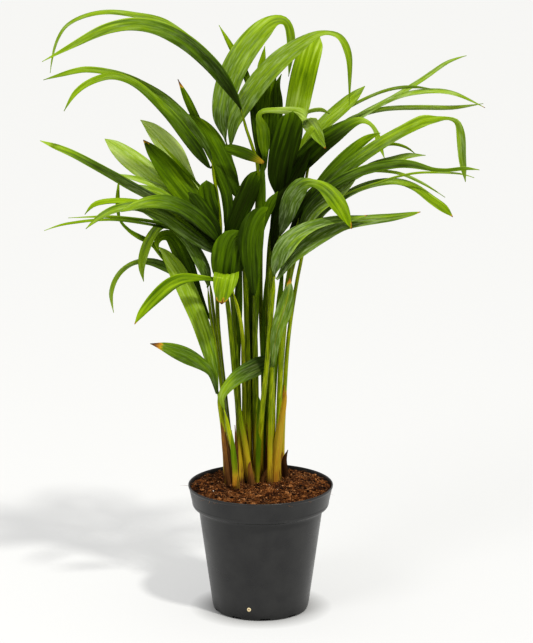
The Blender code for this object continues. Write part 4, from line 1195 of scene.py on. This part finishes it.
# %% Fibres
def fibre(dice, spot, length, radius, rise):
    """Points (rows, 3 sides, 3) of one curved hair that starts at a spot."""
    turn, bend = dice.uniform(0, 2 * math.pi), dice.uniform(-3, 3)
    share = np.linspace(0, 1, 7)
    angle = turn + bend * share
    step = length / 6
    x = spot[0] + np.cumsum(np.cos(angle)) * step
    y = spot[1] + np.cumsum(np.sin(angle)) * step
    ground = soil_height(x, y)
    z = ground + radius + rise * length * np.sin(share * dice.uniform(1.2, 2.8))
    middle = np.stack([x, y, z], -1)
    ring = np.linspace(0, 2 * np.pi, 3, endpoint=False)
    side = np.stack([-np.sin(angle), np.cos(angle), 0 * angle], -1)
    up = np.array([0.0, 0.0, 1.0])
    thick = radius * (1 - 0.7 * share)
    around = side[:, None] * np.cos(ring)[None, :, None] + up * np.sin(ring)[None, :, None]
    return middle[:, None] + around * thick[:, None, None]


def add_fibres(name, count, seed, lengths, rise, most):
    dice = random.Random(seed)
    points, faces, lifts = [], [], []
    for _ in range(count):
        hair = fibre(
            dice, soil_spot(dice, most), dice.uniform(*lengths), dice.uniform(0.00010, 0.00024), rise
        )
        start = len(points) * 21
        faces += [tuple(start + i for i in face) for face in grid_faces(7, 3, closed=True)]
        faces += [(start + 2, start + 1, start), (start + 18, start + 19, start + 20)]
        points.append(hair.reshape(-1, 3))
        lifts += [dice.uniform(0.55, 1.05)] * 21
    return add_piece(name, np.concatenate(points), faces, [coir_mix], "soil", lift=lifts)


add_fibres("coir_fibres", 420, 5, (0.006, 0.020), 0.06, 0.077)
add_fibres("coir_hairs", 60, 8, (0.008, 0.018), 0.35, 0.080)
print("fibres:", 480)


# %% Husk chips and perlite
def lump(dice, size, flat):
    """Corners of an irregular eight to twelve sided grain."""
    ball = bmesh.new()
    bmesh.ops.create_icosphere(ball, subdivisions=1, radius=1.0)
    stretch = np.array([dice.uniform(0.6, 1.3), dice.uniform(0.4, 0.9), flat * dice.uniform(0.6, 1.3)])
    corners = np.array([vertex.co for vertex in ball.verts])
    corners *= np.array([[dice.uniform(0.75, 1.2)] for _ in corners]) * stretch * size
    faces = [tuple(vertex.index for vertex in face.verts) for face in ball.faces]
    ball.free()
    turn = Matrix.Rotation(dice.uniform(0, 6.28), 3, "Z") @ Matrix.Rotation(dice.uniform(-0.6, 0.6), 3, "X")
    return corners @ np.array(turn).T, faces


def add_grains(name, count, seed, sizes, flat, material, least, most, tones):
    dice = random.Random(seed)
    points, faces, lifts = [], [], []
    for _ in range(count):
        size = dice.uniform(*sizes)
        corners, sides = lump(dice, size, flat)
        start = sum(map(len, points))
        faces += [tuple(start + i for i in side) for side in sides]
        points.append(corners + soil_spot(dice, most, least) + np.array([0, 0, 0.3 * size]))
        lifts += [dice.uniform(*tones)] * len(corners)
    grains = add_piece(name, np.concatenate(points), faces, [material], "soil", lift=lifts)
    grains.data.polygons.foreach_set("use_smooth", [False] * len(faces))
    return grains


def perlite_material():
    perlite = Recipe("perlite")
    pits = perlite.noise(perlite.position(), 2500.0, 3.0)
    color = perlite.blend((0.42, 0.38, 0.30), (0.80, 0.78, 0.72), perlite.remap(pits, 0.35, 0.6))
    return perlite.finish(Base_Color=color, Roughness=0.9, Normal=perlite.bump(pits, 0.0004, 0.6))


add_grains("husk_chips", 260, 11, (0.0012, 0.0034), 0.35, coir_mix, 0.0, 0.079, (0.15, 0.85))
add_grains("coir_crumbs", 500, 12, (0.0006, 0.0016), 0.8, coir_mix, 0.0, 0.080, (0.3, 0.9))
add_grains("perlite_grains", 9, 13, (0.0005, 0.0011), 0.9, perlite_material(), 0.010, 0.070, (0, 1))
print("grains:", 260 + 500 + 9)
